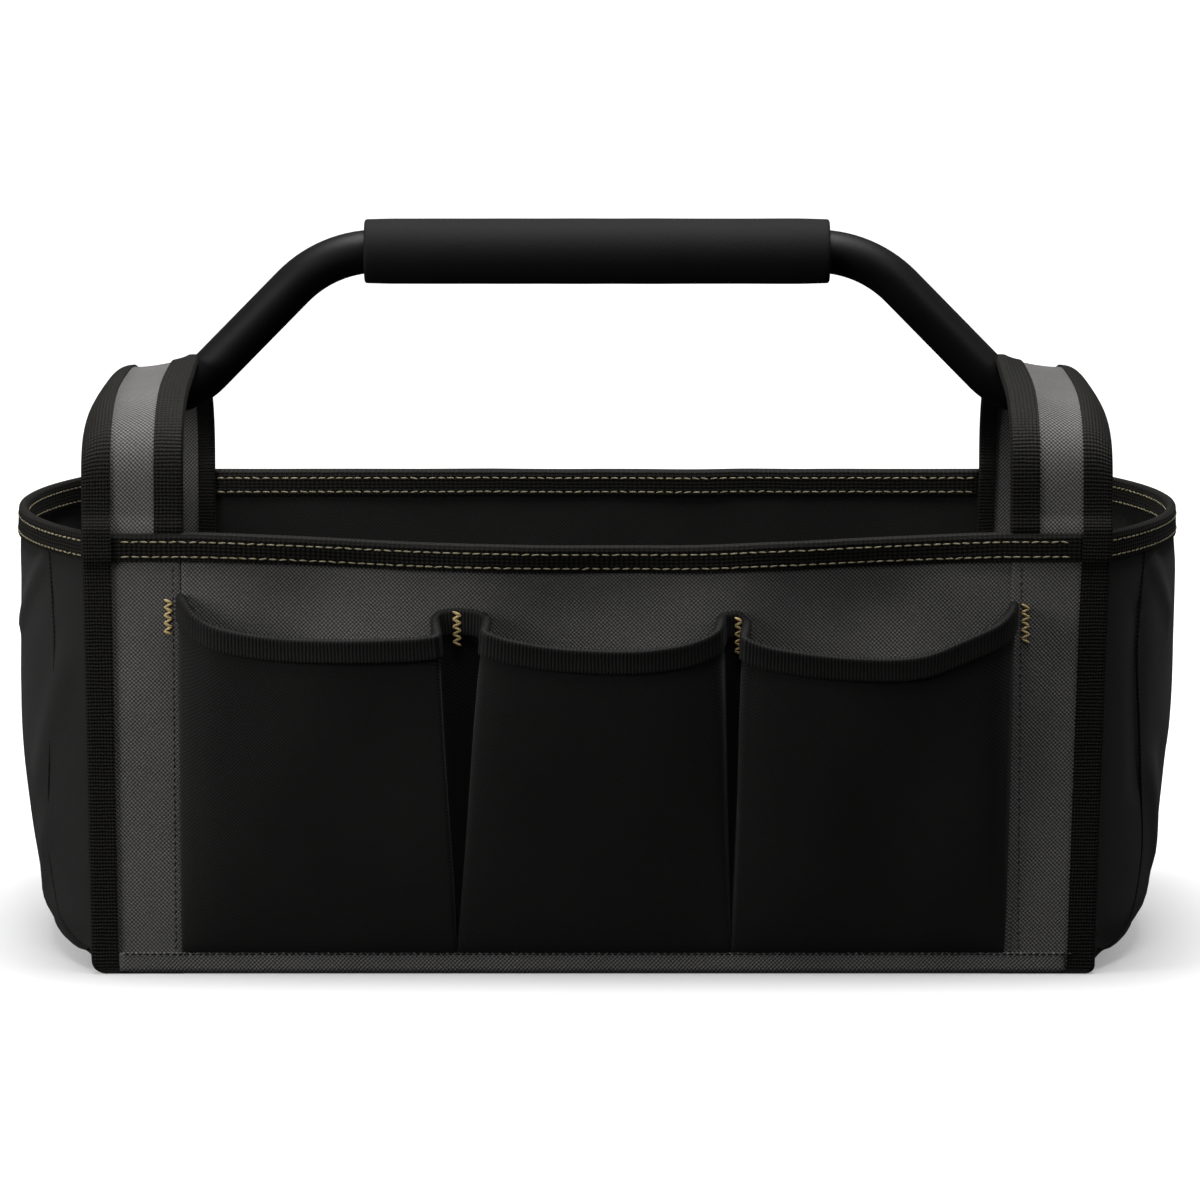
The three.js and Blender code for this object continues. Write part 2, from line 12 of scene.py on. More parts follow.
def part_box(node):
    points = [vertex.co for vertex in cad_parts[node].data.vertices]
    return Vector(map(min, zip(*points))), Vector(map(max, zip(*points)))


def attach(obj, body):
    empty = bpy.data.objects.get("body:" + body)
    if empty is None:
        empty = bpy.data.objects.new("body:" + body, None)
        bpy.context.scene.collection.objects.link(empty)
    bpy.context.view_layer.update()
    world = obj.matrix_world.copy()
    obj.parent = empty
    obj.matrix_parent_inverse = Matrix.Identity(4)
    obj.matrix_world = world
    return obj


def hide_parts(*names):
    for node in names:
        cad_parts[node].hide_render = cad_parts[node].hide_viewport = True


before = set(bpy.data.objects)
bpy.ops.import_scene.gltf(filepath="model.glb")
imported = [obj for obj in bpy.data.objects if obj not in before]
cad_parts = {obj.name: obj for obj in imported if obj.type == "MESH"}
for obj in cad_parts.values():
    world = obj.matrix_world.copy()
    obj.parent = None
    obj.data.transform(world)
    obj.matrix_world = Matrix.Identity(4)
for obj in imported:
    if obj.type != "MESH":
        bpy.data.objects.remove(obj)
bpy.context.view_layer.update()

bl_info = {
    "name": "Open Top Tool Tote",
    "version": (1, 0, 0),
    "blender": (4, 5, 0),
    "location": "View3D > Sidebar > Tote",
    "description": "Builds a sewn tool tote with pockets, bound edges and a padded tube handle",
    "category": "Object",
}

MM = 0.001
SIDES = {"left": -1, "right": 1}

# Clearances and cloth thicknesses, in millimetres
GAP = 0.3
WALL = 1.6
PANEL = 1.5
STRAP_LAYER = 1.5
LAYER_LAP = 0.1
TAPE = 1.0

# How the cloth hangs, in millimetres
FRONT_BOW = 8.0
FRONT_SCALLOP = 6.0
SCALLOP_TOP = 155.0
RIM_SAG = 5.0
EDGE_RADIUS = 8.0
LINING_LAP = 0.6
BASE_THICKNESS = 1.5
BASE_UPTURN = 9.3
BASE_CORNER = 2.2
END_CORNER_GAP = 0.8
END_FOOT_LIFT = 3.5
END_CORNER_LIFT = 2.5
END_UNDER_SHARE = 0.8
RIM_END_GAP = 1.2
WELT_RADIUS = 0.9
WELT_SINK = 0.2

# The straps, in millimetres. What differs between them is given by side.
STRAP_OVERHANG = 3.5
STRAP_TRIM = 1.1
STRAP_NECK = 16.0
LOOP_FRONT_SQUARENESS = 3.8
LOOP_BACK_SQUARENESS = 2.2
LOOP_DROOP = 8.5
LOOP_SAG = 2.6
LOOP_GATHER = 0.4
LOOP_CREST = 178.5
FORK_RISE = 8.0
INNER_LEG_DROP = 33.0
FOOT_WIDTH = {-1: 6.0, 1: 3.5}
FOOT_HEIGHT = {-1: 6.0, 1: 3.5}
OUTER_LEAN = {-1: 2.4, 1: 5.7}
INNER_LEAN = {-1: 0.0, 1: 4.3}
LEAN_POWER = 0.8
TUBE_LIFT = 0.88

# The straps' bindings: reaches as shares of their width, the rest in millimetres
BINDING_REACH = 0.79
BINDING_BACK_REACH = 0.45
BINDING_LEG_REACH = 0.1
BINDING_BULGE = 0.9
BINDING_FOOT_RISE = 0.55

# Rows of stitches on the rim tape, as drops from the rim in millimetres, how much of the pitch each
# stitch fills and how much of an end wall's width is sewn
RIM_ROWS = (4.0, 10.3)
STITCH_SHARE = 0.86
END_SEWN_SHARE = 0.975

# Other stitches as (pitch, length, width, height) in millimetres, how far their rows lie from the
# edge, and how many are made in one run
STRAP_STITCH = (3.0, 2.2, 0.8, 0.5)
BASE_STITCH = (2.8, 2.2, 1.0, 0.8)
STRAP_SEAM_INSET = 3.4
BASE_SEAM_INSET = 0.4
SEWN_RUN = 30

# Bartacks as (x, top, bottom) in millimetres. Those on the straps give x from the inner edge, out.
BARTACK_STEPS = 9
BARTACK_HALF_WIDTH = 1.7
BARTACK_THREAD = (1.35, 1.1)
STRAP_BARTACKS = [(-5.3, 160.5, 145.5), (5.3, 158.5, 142.0)]
PLEAT_BARTACKS = [(-58.9, 156.5, 142.0), (59.7, 154.0, 138.0)]

# The handle's bends, in millimetres
LOWER_CORNER = 179.0
UPPER_CORNER = 117.5
UPPER_BEND = 52.0
LOWER_BEND = 32.0

# The tube's ends and the foam grip, in millimetres
TUBE_EDGE = 0.8
GRIP_SHOULDER = 1.3
GRIP_CROWN = 0.3
GRIP_PLAY = 0.15

# The woven materials
YARN_CONTRAST = 1.5
WEAVE_LEAN = 0.12
CLOTH_SPECULAR = 0.15

# The floor and backdrop sheet, in millimetres
SHEET_REACH = 12000.0
CURVE_START = 3100.0
CURVE_RADIUS = 1500.0

# Depth of the end walls, out from their seam, as (height, left, right) shares of the rim's height
# and of the bulge
END_SECTIONS = [
    (1.0, 0.95, 0.96),
    (0.85, 0.98, 0.97),
    (0.7, 1.0, 0.96),
    (0.45, 0.97, 0.9),
    (0.28, 0.89, 0.84),
    (0.15, 0.79, 0.76),
    (0.07, 0.74, 0.69),
    (0.03, 0.64, 0.55),
]

# The welted seam on the end walls, as (turn from the middle towards the corner, height share)
END_SEAM_LINE = [
    (0.70, 0.945), (0.735, 0.82), (0.75, 0.70), (0.70, 0.52), (0.655, 0.38), (0.60, 0.25),
    (0.61, 0.15), (0.68, 0.085), (0.80, 0.055), (0.93, 0.045),
]

# Creases in the end walls as (from, to, width, rise), each place as (along from the middle towards
# the front, height), in millimetres
END_CREASES = {
    -1: [
        ((74, 173), (33, 140), 5, 1.4), ((95, 130), (60, 75), 9, 1.2),
        ((20, 150), (8, 60), 12, -1.2), ((70, 60), (40, 22), 8, 1.0),
        ((-50, 168), (-20, 120), 7, 1.2), ((-85, 90), (-55, 35), 9, 1.1),
    ],
    1: [
        ((70, 172), (40, 146), 6, 1.2), ((62, 78), (38, 40), 8, 1.5),
        ((85, 150), (80, 80), 9, -1.1), ((15, 160), (5, 90), 11, 1.0),
        ((-60, 170), (-25, 130), 6, 1.3), ((-70, 70), (-45, 25), 8, 1.0),
    ],
}

# Each fold of a pocket's mouth as (mouth, base, forward, height): shares of the panel's half
# length, of the pocket's swell and of the rim's height
POCKET_FOLDS = {
    "left": [
        (-1.003, -1.004, 0.0, 0.858), (-0.99, -0.997, 0.3, 0.846), (-0.96, -0.97, 0.6, 0.815),
        (-0.9, -0.91, 0.86, 0.79), (-0.77, -0.77, 0.98, 0.772), (-0.62, -0.6, 1.03, 0.768),
        (-0.47, -0.44, 0.98, 0.771), (-0.405, -0.36, 0.93, 0.776), (-0.384, -0.345, 0.86, 0.782),
        (-0.386, -0.345, 0.5, 0.796), (-0.388, -0.344, 0.18, 0.812), (-0.375, -0.342, 0.04, 0.824),
        (-0.336, -0.336, 0.0, 0.828),
    ],
    "middle": [
        (-0.336, -0.336, 0.0, 0.828), (-0.29, -0.335, 0.04, 0.824), (-0.266, -0.335, 0.16, 0.814),
        (-0.266, -0.334, 0.45, 0.8), (-0.268, -0.332, 0.76, 0.789), (-0.25, -0.3, 0.9, 0.781),
        (-0.2, -0.23, 1.0, 0.768), (-0.08, -0.09, 1.08, 0.752), (0.08, 0.09, 1.1, 0.747),
        (0.19, 0.21, 1.03, 0.757), (0.255, 0.28, 0.93, 0.774), (0.285, 0.315, 0.8, 0.79),
        (0.295, 0.32, 0.5, 0.806), (0.3, 0.322, 0.16, 0.814), (0.31, 0.323, 0.04, 0.82),
        (0.337, 0.324, 0.0, 0.822),
    ],
    "right": [
        (0.337, 0.324, 0.0, 0.822), (0.352, 0.325, 0.05, 0.814), (0.36, 0.326, 0.2, 0.802),
        (0.356, 0.328, 0.5, 0.79), (0.355, 0.334, 0.8, 0.776), (0.375, 0.352, 0.9, 0.764),
        (0.43, 0.41, 1.0, 0.75), (0.56, 0.56, 1.07, 0.733), (0.7, 0.7, 1.07, 0.726),
        (0.79, 0.79, 1.02, 0.734), (0.87, 0.86, 0.95, 0.762), (0.952, 0.938, 0.8, 0.795),
        (0.99, 0.974, 0.4, 0.82), (1.004, 0.986, 0.0, 0.84),
    ],
}
POCKET_FACE = WALL / 2 + GAP + STRAP_LAYER + GAP + PANEL / 2
POCKET_BASE = BASE_UPTURN + 0.6
POCKET_FULLNESS = 0.65
POCKET_SLACK = 2.2  # the height of the loose cloth's ruffles, in millimetres
POCKET_COLUMNS = 110


def hex_colour(code):
    """An sRGB hex colour as linear red, green and blue."""
    parts = [int(code[i : i + 2], 16) / 255 for i in (1, 3, 5)]
    return tuple(p / 12.92 if p <= 0.04045 else ((p + 0.055) / 1.055) ** 2.4 for p in parts)


def length_prop(name, description, default):
    """A length in metres that a user can change."""
    return FloatProperty(
        name=name, description=description, default=default, min=0.0, unit="LENGTH", precision=4
    )


def colour_prop(name, description, code):
    """A colour that a user can change."""
    return FloatVectorProperty(
        name=name, description=description, default=hex_colour(code), subtype="COLOR", min=0, max=1
    )


class ToteSizes(bpy.types.PropertyGroup):
    """Lengths of the tote"""

    half_length: length_prop("Half Length", "From the middle to the front panel's end seam", 0.2135)
    depth: length_prop("Depth", "From the front wall to the back wall", 0.230)
    rim_height: length_prop("Rim Height", "From the floor to the top of the rim tape", 0.189)
    end_bulge: length_prop("End Bulge", "How far the end walls bulge past their seams", 0.0385)
    strap_width: length_prop("Strap Width", "Width of the cloth strap at each end", 0.0415)
    binding_width: length_prop("Binding Width", "Width of the tape on the strap's edges", 0.014)
    rim_tape_height: length_prop("Rim Tape Height", "Width of the tape round the mouth", 0.0122)
    pocket_swell: length_prop("Pocket Swell", "How far the pocket mouths stand forward", 0.015)
    pocket_tape_height: length_prop("Pocket Tape", "Width of the tape on the pocket mouths", 0.0112)
    tube_radius: length_prop("Tube Radius", "Radius of the handle's steel tube", 0.0095)
    grip_radius: length_prop("Grip Radius", "Radius of the foam grip", 0.0143)
    handle_height: length_prop("Handle Height", "Height of the grip's axis", 0.298)
    handle_end_height: length_prop("Tube End Height", "Height of the tube's ends", 0.2355)
    stitch_pitch: length_prop("Stitch Pitch", "Distance from one stitch to the next", 0.00415)


class ToteColours(bpy.types.PropertyGroup):
    """Colours of the tote's cloth, tape, thread and paint"""

    # The dark colour of each cloth and tape is painted shade in the gaps and grooves, and the light
    # one is a painted highlight on the yarn and rib tops. The grey gap colour is also the strap
    # stitches' own colour. The tape groove colour is also the floor stitches' painted groove shade.
    grey_dark: colour_prop("Grey Cloth, Gaps", "Between the yarns of the grey cloth", "#2e2d2c")
    grey_light: colour_prop("Grey Cloth, Yarns", "Tops of the grey cloth's yarns", "#838180")
    black_dark: colour_prop("Black Cloth, Gaps", "Between the yarns of the black cloth", "#0b0a09")
    black_light: colour_prop("Black Cloth, Yarns", "Tops of the black cloth's yarns", "#252423")
    tape_dark: colour_prop("Tape, Grooves", "Between the ribs of the tape", "#030302")
    tape_light: colour_prop("Tape, Ribs", "Tops of the tape's ribs", "#191612")
    thread: colour_prop("Thread", "The tan sewing thread", "#8c8468")
    bartack: colour_prop("Bartack Thread", "The golden thread of the bartacks", "#c9ae78")
    paint: colour_prop("Tube Paint", "The handle tube's powder coat", "#060606")
    foam: colour_prop("Foam", "The foam grip", "#0c0b0c")


def smoothstep(value, low, high):
    t = min(max((value - low) / (high - low), 0.0), 1.0)
    return t * t * (3 - 2 * t)


def mix(a, b, share):
    return a + (b - a) * share


def span(start, end, steps):
    """Evenly spaced values from start to end."""
    return [start + (end - start) * i / steps for i in range(steps + 1)]


def through(points, u):
    """A smooth curve through a list of equally spaced values or vectors, at u from 0 to 1."""
    place = u * (len(points) - 1)
    i = min(int(place), len(points) - 2)
    t = place - i
    p0, p1, p2, p3 = (points[min(max(k, 0), len(points) - 1)] for k in (i - 1, i, i + 1, i + 2))
    v0, v1 = (p2 - p0) * 0.5, (p3 - p1) * 0.5
    return (
        (p1 - p2) * (2 * t**3) + (v0 + v1) * t**3 + (p2 - p1) * (3 * t**2)
        - (v0 * 2 + v1) * t**2 + v0 * t + p1
    )


class Pattern:
    """The tote's places, in millimetres, worked out from its sizes."""

    def __init__(self, sizes):
        for name in ToteSizes.__annotations__:
            setattr(self, name, getattr(sizes, name) / MM)
        self.wall_mid = (self.depth - WALL) / 2
        self.wall_out = WALL / 2
        overhang = self.half_length + STRAP_OVERHANG
        self.strap_outer = overhang - STRAP_TRIM
        self.strap_inner = overhang - self.strap_width
        self.strap_face = self.wall_out + GAP + STRAP_LAYER
        self.panel_half = self.strap_inner - GAP
        self.wall_top = self.rim_height - TAPE - GAP
        self.loop_spring = self.rim_height + FORK_RISE
        self.tube_end = overhang - self.binding_width
        self.loop_top = self.handle_end_height + self.tube_radius + STRAP_LAYER
        self.floor = BASE_THICKNESS + GAP + WALL / 2
        self.end_seam = self.half_length + END_CORNER_GAP
        self.slope = math.atan2(
            self.handle_height - self.handle_end_height, LOWER_CORNER - UPPER_CORNER
        )

    def low(self, z):
        """1 at the floor, falling to 0 at the rim."""
        return max(1 - z / self.rim_height, 0) ** LEAN_POWER

    def middle_share(self, x):
        share = min(abs(x) / self.strap_inner, 1)
        return (1 - share * share) ** 1.5

    def bow(self, x, z):
        return FRONT_BOW * self.middle_share(x) * (max(z, 0) / self.rim_height) ** 1.3

    def scallop(self, x, z):
        """How far the front wall sinks in behind each pocket's mouth."""
        bay = math.sin(1.5 * math.pi * (1 + min(abs(x) / self.strap_inner, 1))) ** 2
        level = smoothstep(z, 0.5 * self.rim_height, 0.8 * self.rim_height)
        return FRONT_SCALLOP * bay * level * (1 - 0.7 * smoothstep(z, SCALLOP_TOP, self.rim_height))

    def front(self, x, height, proud):
        """On the front wall. Proud is measured out from the middle of the wall's cloth."""
        z = height - RIM_SAG * self.middle_share(x) * (height / self.rim_height) ** 2
        stand = self.wall_mid + proud + self.bow(x, z) - self.scallop(x, z)
        return Vector((x, -stand, z))

    def back(self, x, height, proud):
        """On the back wall."""
        return Vector((x, self.wall_mid + proud, height))

    def end(self, side, turn, depth, height, proud):
        """On an end wall: turn runs from -1 at the front seam to 1 at the back seam."""
        bulge = max(depth, 0.01)
        radius = (self.wall_mid**2 + bulge**2) / (2 * bulge)
        angle = turn * math.asin(self.wall_mid / radius)
        x = self.end_seam + bulge - radius + (radius + proud) * math.cos(angle)
        x -= OUTER_LEAN[side] * self.low(height) * turn**4
        return Vector((side * x, (radius + proud) * math.sin(angle), height))

    def end_depth(self, side, share):
        """Depth of an end wall at a share of the rim's height, smooth through its sections."""
        column = 1 if side < 0 else 2
        rows = END_SECTIONS
        below = next((i for i, row in enumerate(rows) if row[0] <= share), len(rows) - 1)
        below = max(below, 1)

        def slope(i):
            upper, lower = rows[max(i - 1, 0)], rows[min(i + 1, len(rows) - 1)]
            return (upper[column] - lower[column]) / (upper[0] - lower[0])

        upper, lower = rows[below - 1], rows[below]
        step, rise = upper[0] - lower[0], upper[column] - lower[column]
        t = (share - lower[0]) / step
        start, end = slope(below) * step - rise, slope(below - 1) * step - rise
        return self.end_bulge * (
            lower[column] + rise * t + t * (1 - t) * (start * (1 - t) - end * t)
        )

    def end_wall(self, side, turn, share, proud=0.0):
        """On the upright part of an end wall, at a share of the rim's height."""
        depth = self.end_depth(side, share)
        return self.end(side, turn, depth, min(share * self.rim_height, self.wall_top), proud)

    def strap_line(self, leg_steps=48, arch_steps=72):
        """The middle line of a strap, from its foot at the front to its foot at the back."""
        rise = self.loop_top - self.loop_spring
        neck = self.rim_height - STRAP_NECK
        low = [neck * t**1.6 for t in span(0, 1, leg_steps)]
        high = span(neck, self.loop_spring, 14)[1:]
        leg = [(-self.wall_mid, z) for z in low + high]
        arch = []
        for angle in span(0, math.pi, arch_steps)[1:-1]:
            c = math.cos(angle)
            power = 2 / (LOOP_FRONT_SQUARENESS if c > 0 else LOOP_BACK_SQUARENESS)
            arch.append((
                -math.copysign(self.wall_mid * abs(c) ** power, c),
                self.loop_spring + rise * math.sin(angle) ** power,
            ))
        line = leg + arch + [(-y, z) for y, z in reversed(leg)]
        stations = []
        for i, (y, z) in enumerate(line):
            before, after = line[max(i - 1, 0)], line[min(i + 1, len(line) - 1)]
            dy, dz = after[0] - before[0], after[1] - before[1]
            length = math.hypot(dy, dz)
            top = max((z - self.loop_spring) / rise, 0)
            stations.append((y, z, -dz / length, dy / length, top))
        return stations

    def tube_rise(self, x):
        """Height of the tube's upper side over its level end, at x."""
        start = LOWER_CORNER + LOWER_BEND * math.tan(self.slope / 2)
        radius = LOWER_BEND - self.tube_radius
        into = max(start - x, 0)
        bend = min(into, radius * math.sin(self.slope))
        return radius - math.sqrt(radius**2 - bend**2) + (into - bend) * math.tan(self.slope)

    def strap(self, side, station, x, proud):
        """On a strap. The tube's bend lifts the inner edge, and the outer edge droops past it."""
        y, z, out_y, out_z, top = station
        across = (x - self.strap_inner) / (self.strap_outer - self.strap_inner)
        lean = mix(INNER_LEAN[side], OUTER_LEAN[side], across) * self.low(z)
        over_tube = math.exp(-((y / (3 * self.tube_radius)) ** 2)) * top
        past_end = max(x - self.tube_end, 0) / (self.strap_outer - self.tube_end)
        near = 1 - smoothstep(x, self.strap_inner, self.strap_inner + self.binding_width)
        proud *= 1 - LOOP_GATHER * near * over_tube
        sag = LOOP_SAG * smoothstep(x, self.strap_inner + 6, self.tube_end)
        lift = TUBE_LIFT * self.tube_rise(max(x, LOOP_CREST)) * over_tube
        lift -= (sag + LOOP_DROOP * past_end**3) * top**2
        return Vector((side * (x - lean), y + out_y * proud, z + out_z * proud + lift))

    def fork(self, z):
        """0 where a strap's layers are apart round the wall, 1 where they are together."""
        return smoothstep(z, self.rim_height + GAP, self.loop_spring)

    def layer_stand(self, z):
        together = (STRAP_LAYER - LAYER_LAP) / 2
        apart = self.wall_out + GAP + STRAP_LAYER / 2
        return mix(apart, together, self.fork(z))

    def foot_inset(self, side, z):
        """How far the strap's outer edge draws in where it rounds off at its foot."""
        short = min(max(1 - z / FOOT_HEIGHT[side], 0), 1)
        return FOOT_WIDTH[side] * (1 - math.sqrt(1 - short**2))

    def pocket_rows(self, folds, steps):
        columns = list(zip(*folds))
        rows = []
        for u in span(0, 1, steps):
            mouth, base, forward, height = (through(column, u) for column in columns)
            rows.append((mouth, base, max(forward, 0), height))
        return rows

    def pocket(self, rows, i, up, proud):
        """On a pocket: up runs from 0 at its foot to 1 at its mouth."""

        def at(index):
            mouth, base, forward, height = rows[min(max(index, 0), len(rows) - 1)]
            x = self.panel_half * mix(base, mouth, up)
            z = mix(POCKET_BASE, self.rim_height * height, up)
            swell = self.pocket_swell * forward * max(up, 0) ** POCKET_FULLNESS
            return x, z, POCKET_FACE + swell + self.bow(x, z)

        here, before, after = at(i), at(i - 1), at(i + 1)
        along = Vector((after[0] - before[0], after[2] - before[2])).normalized()
        x = here[0] - along.y * proud
        stand = here[2] + along.x * proud
        return Vector((x, -(self.wall_mid + stand), here[1]))

    def tube_line(self, steps=14):
        """The middle line of the tube."""
        right = []
        reach = UPPER_BEND * math.tan(self.slope / 2)
        for angle in span(0, self.slope, steps):
            right.append((
                UPPER_CORNER - reach + UPPER_BEND * math.sin(angle),
                self.handle_height - UPPER_BEND * (1 - math.cos(angle)),
            ))
        reach = LOWER_BEND * math.tan(self.slope / 2)
        for angle in span(self.slope, 0, steps):
            right.append((
                LOWER_CORNER + reach - LOWER_BEND * math.sin(angle),
                self.handle_end_height + LOWER_BEND * (1 - math.cos(angle)),
            ))
        right.append((self.tube_end, self.handle_end_height))
        line = [(-x, z) for x, z in reversed(right)] + right
        return [Vector((x, 0, z)) for x, z in line]


def add(tree, kind, inputs=None, **settings):
    """Adds a node with its settings. An input that is a socket is linked, others are set."""
    node = tree.nodes.new(kind)
    for name, value in settings.items():
        setattr(node, name, value)
    for socket, value in (inputs or {}).items():
        if isinstance(value, bpy.types.NodeSocket):
            tree.links.new(value, node.inputs[socket])
        else:
            node.inputs[socket].default_value = value
    return node


def new_material(name, constants):
    """A new node material with its shader and output. Constants go straight to the shader."""
    material = bpy.data.materials.new(name)
    material.use_nodes = True
    tree = material.node_tree
    tree.nodes.clear()
    shader = add(tree, "ShaderNodeBsdfPrincipled", constants)
    add(tree, "ShaderNodeOutputMaterial", {"Surface": shader.outputs["BSDF"]})
    return material, tree, shader


def cloth_uv(tree, wander, scale):
    """The cloth's own UV in metres, with its threads wandering a little off straight."""
    uv = add(tree, "ShaderNodeUVMap", uv_map="Cloth").outputs["UV"]
    drift = add(tree, "ShaderNodeTexNoise", {"Vector": uv, "Scale": scale, "Detail": 2.0})
    centred = add(
        tree, "ShaderNodeVectorMath", {0: drift.outputs["Color"], 1: (0.5, 0.5, 0.5)},
        operation="SUBTRACT",
    )
    moved = add(
        tree, "ShaderNodeVectorMath", {0: centred.outputs[0], "Scale": wander}, operation="SCALE"
    )
    place = add(tree, "ShaderNodeVectorMath", {0: uv, 1: moved.outputs[0]}, operation="ADD")
    axes = add(tree, "ShaderNodeSeparateXYZ", {"Vector": place.outputs[0]})
    return uv, axes.outputs["X"], axes.outputs["Y"]


def wave(tree, place, period):
    """A cosine from -1 to 1 along a place in metres, with its period in millimetres."""
    turned = add(
        tree, "ShaderNodeMath", {0: place, 1: 2 * math.pi / (period * MM)}, operation="MULTIPLY"
    )
    return add(tree, "ShaderNodeMath", {0: turned.outputs[0]}, operation="COSINE").outputs[0]


def mottled(tree, place, scale, detail, low, high):
    """Noise as it is, and the same patches as a level that is mostly between low and high."""
    noisy = add(
        tree, "ShaderNodeTexNoise", {"Vector": place, "Scale": scale, "Detail": detail}
    ).outputs["Fac"]
    level = add(
        tree, "ShaderNodeMapRange",
        {"Value": noisy, "From Min": 0.3, "From Max": 0.7, "To Min": low, "To Max": high},
    )
    return noisy, level.outputs[0]


def dressed(material, tree, shader, colour, level, height, depth, strength):
    """The material with its colour, lighter and darker by a level, and a bump of a depth in
    millimetres."""
    base = add(tree, "ShaderNodeVectorMath", {0: colour, "Scale": level}, operation="SCALE")
    bump = add(
        tree, "ShaderNodeBump", {"Height": height, "Distance": depth * MM, "Strength": strength}
    )
    tree.links.new(base.outputs[0], shader.inputs["Base Color"])
    tree.links.new(bump.outputs["Normal"], shader.inputs["Normal"])
    return material


def weave(name, dark, light, height, blotch, constants, pattern_of, wander, scale):
    """A material of yarns. Pattern_of makes the nodes that give their tops, 0 to 1. The tops set
    the bump and also the colour, as painted highlight on the tops and painted shade in the gaps.
    """
    material, tree, shader = new_material(name, constants)
    uv, x, y = cloth_uv(tree, wander, scale)
    _, level = mottled(tree, uv, 22.0, 3.0, 1 - blotch, 1 + blotch)
    _, fuzz = mottled(tree, uv, 1500.0, 1.0, 0.78, 1.22)
    lit = add(
        tree, "ShaderNodeMath", {0: pattern_of(tree, x, y), 1: fuzz}, operation="MULTIPLY",
        use_clamp=True,
    ).outputs[0]
    # The colour follows the yarn tops. It is partly the weave's own pattern, partly painted
    # highlight on the tops and painted shade between them.
    tipped = add(tree, "ShaderNodeMath", {0: lit, 1: YARN_CONTRAST}, operation="POWER")
    yarn = add(
        tree, "ShaderNodeMix", {"Factor": tipped.outputs[0], 6: (*dark, 1), 7: (*light, 1)},
        data_type="RGBA",
    )
    return dressed(material, tree, shader, yarn.outputs[2], level, lit, height, 1.0)


def woven_polyester(name, dark, light, pitch, height, blotch, roughness):
    """Woven polyester pack cloth, coated on its back. Its chequered yarns catch the light one by
    one, so the eye reads rows of small dots that run on the diagonal. The dots are a painted
    highlight, and the gaps between them are painted shade."""

    def chequer(tree, x, y):
        along = add(tree, "ShaderNodeMath", {0: x, 1: y}, operation="ADD").outputs[0]
        across = add(tree, "ShaderNodeMath", {0: x, 1: y}, operation="SUBTRACT").outputs[0]
        total = 0.5
        for place, share in ((along, 1 + WEAVE_LEAN), (across, 1 - WEAVE_LEAN)):
            yarns = wave(tree, place, 2 * pitch)
            total = add(
                tree, "ShaderNodeMath", {0: yarns, 1: 0.25 * share, 2: total},
                operation="MULTIPLY_ADD",
            ).outputs[0]
        return total

    constants = {
        "Roughness": roughness, "Specular IOR Level": CLOTH_SPECULAR, "Sheen Weight": 0.08,
        "Sheen Roughness": 0.5,
    }
    return weave(name, dark, light, height, blotch, constants, chequer, 0.0012, 60.0)


def grosgrain(name, dark, light, rib, row, height):
    """Woven binding tape with cross ribs. Each rib shines along its top, broken up by the warp, so
    the tape shows fine upright lines in faint rows. The shine is a painted highlight on the rib
    tops over painted shade in the grooves."""

    def ribbed(tree, x, y):
        total = 0.45
        for place, period, share in ((x, rib, 0.3), (y, row, 0.26)):
            total = add(
                tree, "ShaderNodeMath", {0: wave(tree, place, period), 1: share, 2: total},
                operation="MULTIPLY_ADD",
            ).outputs[0]
        return total

    constants = {"Roughness": 0.62, "Specular IOR Level": CLOTH_SPECULAR, "Sheen Weight": 0.02}
    return weave(name, dark, light, height, 0.2, constants, ribbed, 0.0008, 90.0)


def spun_thread(name, colour):
    """Bonded sewing thread, twisted from plies: each stitch is a small bright bead, a little darker
    in its twist. The lighter plies and darker twist follow the bump, as painted highlight and
    painted shade over the thread's own colour."""
    material, tree, shader = new_material(name, {"Roughness": 0.5})
    place = add(tree, "ShaderNodeTexCoord").outputs["Object"]
    ply, level = mottled(tree, place, 900.0, 2.0, 0.65, 1.25)
    return dressed(material, tree, shader, colour, level, ply, 0.15, 0.6)


def powder_coat(name, colour):
    """Powder-coated steel tube: a satin black skin with the slight ripple that the powder leaves,
    which softens the edges of its highlights."""
    material, tree, shader = new_material(
        name, {"Base Color": (*colour, 1), "Specular IOR Level": 0.22}
    )
    place = add(tree, "ShaderNodeTexCoord").outputs["Object"]
    # Orange peel is about 0.4 mm from crest to crest. It is drawn at 1.2 mm so that it shows.
    peel = add(
        tree, "ShaderNodeTexNoise", {"Vector": place, "Scale": 800.0, "Detail": 1.0}
    ).outputs["Fac"]
    bump = add(tree, "ShaderNodeBump", {"Height": peel, "Distance": 0.05 * MM, "Strength": 0.5})
    _, rubbed = mottled(tree, place, 40.0, 5.0, 0.44, 0.54)
    tree.links.new(bump.outputs["Normal"], shader.inputs["Normal"])
    tree.links.new(rubbed, shader.inputs["Roughness"])
    return material


def closed_cell_foam(name, colour):
    """Closed-cell rubber foam with its skin ground off: dull, with pores as fine dark pits."""
    material, tree, shader = new_material(name, {"Roughness": 0.8, "Specular IOR Level": 0.25})
    place = add(tree, "ShaderNodeTexCoord").outputs["Object"]
    # Cells are about 0.3 mm. They are drawn at 1 mm so that they show.
    cells = add(
        tree, "ShaderNodeTexVoronoi", {"Vector": place, "Scale": 1000.0}, feature="SMOOTH_F1"
    ).outputs["Distance"]
    _, level = mottled(tree, place, 70.0, 4.0, 0.85, 1.15)
    return dressed(material, tree, shader, colour, level, cells, 0.12, 0.5)


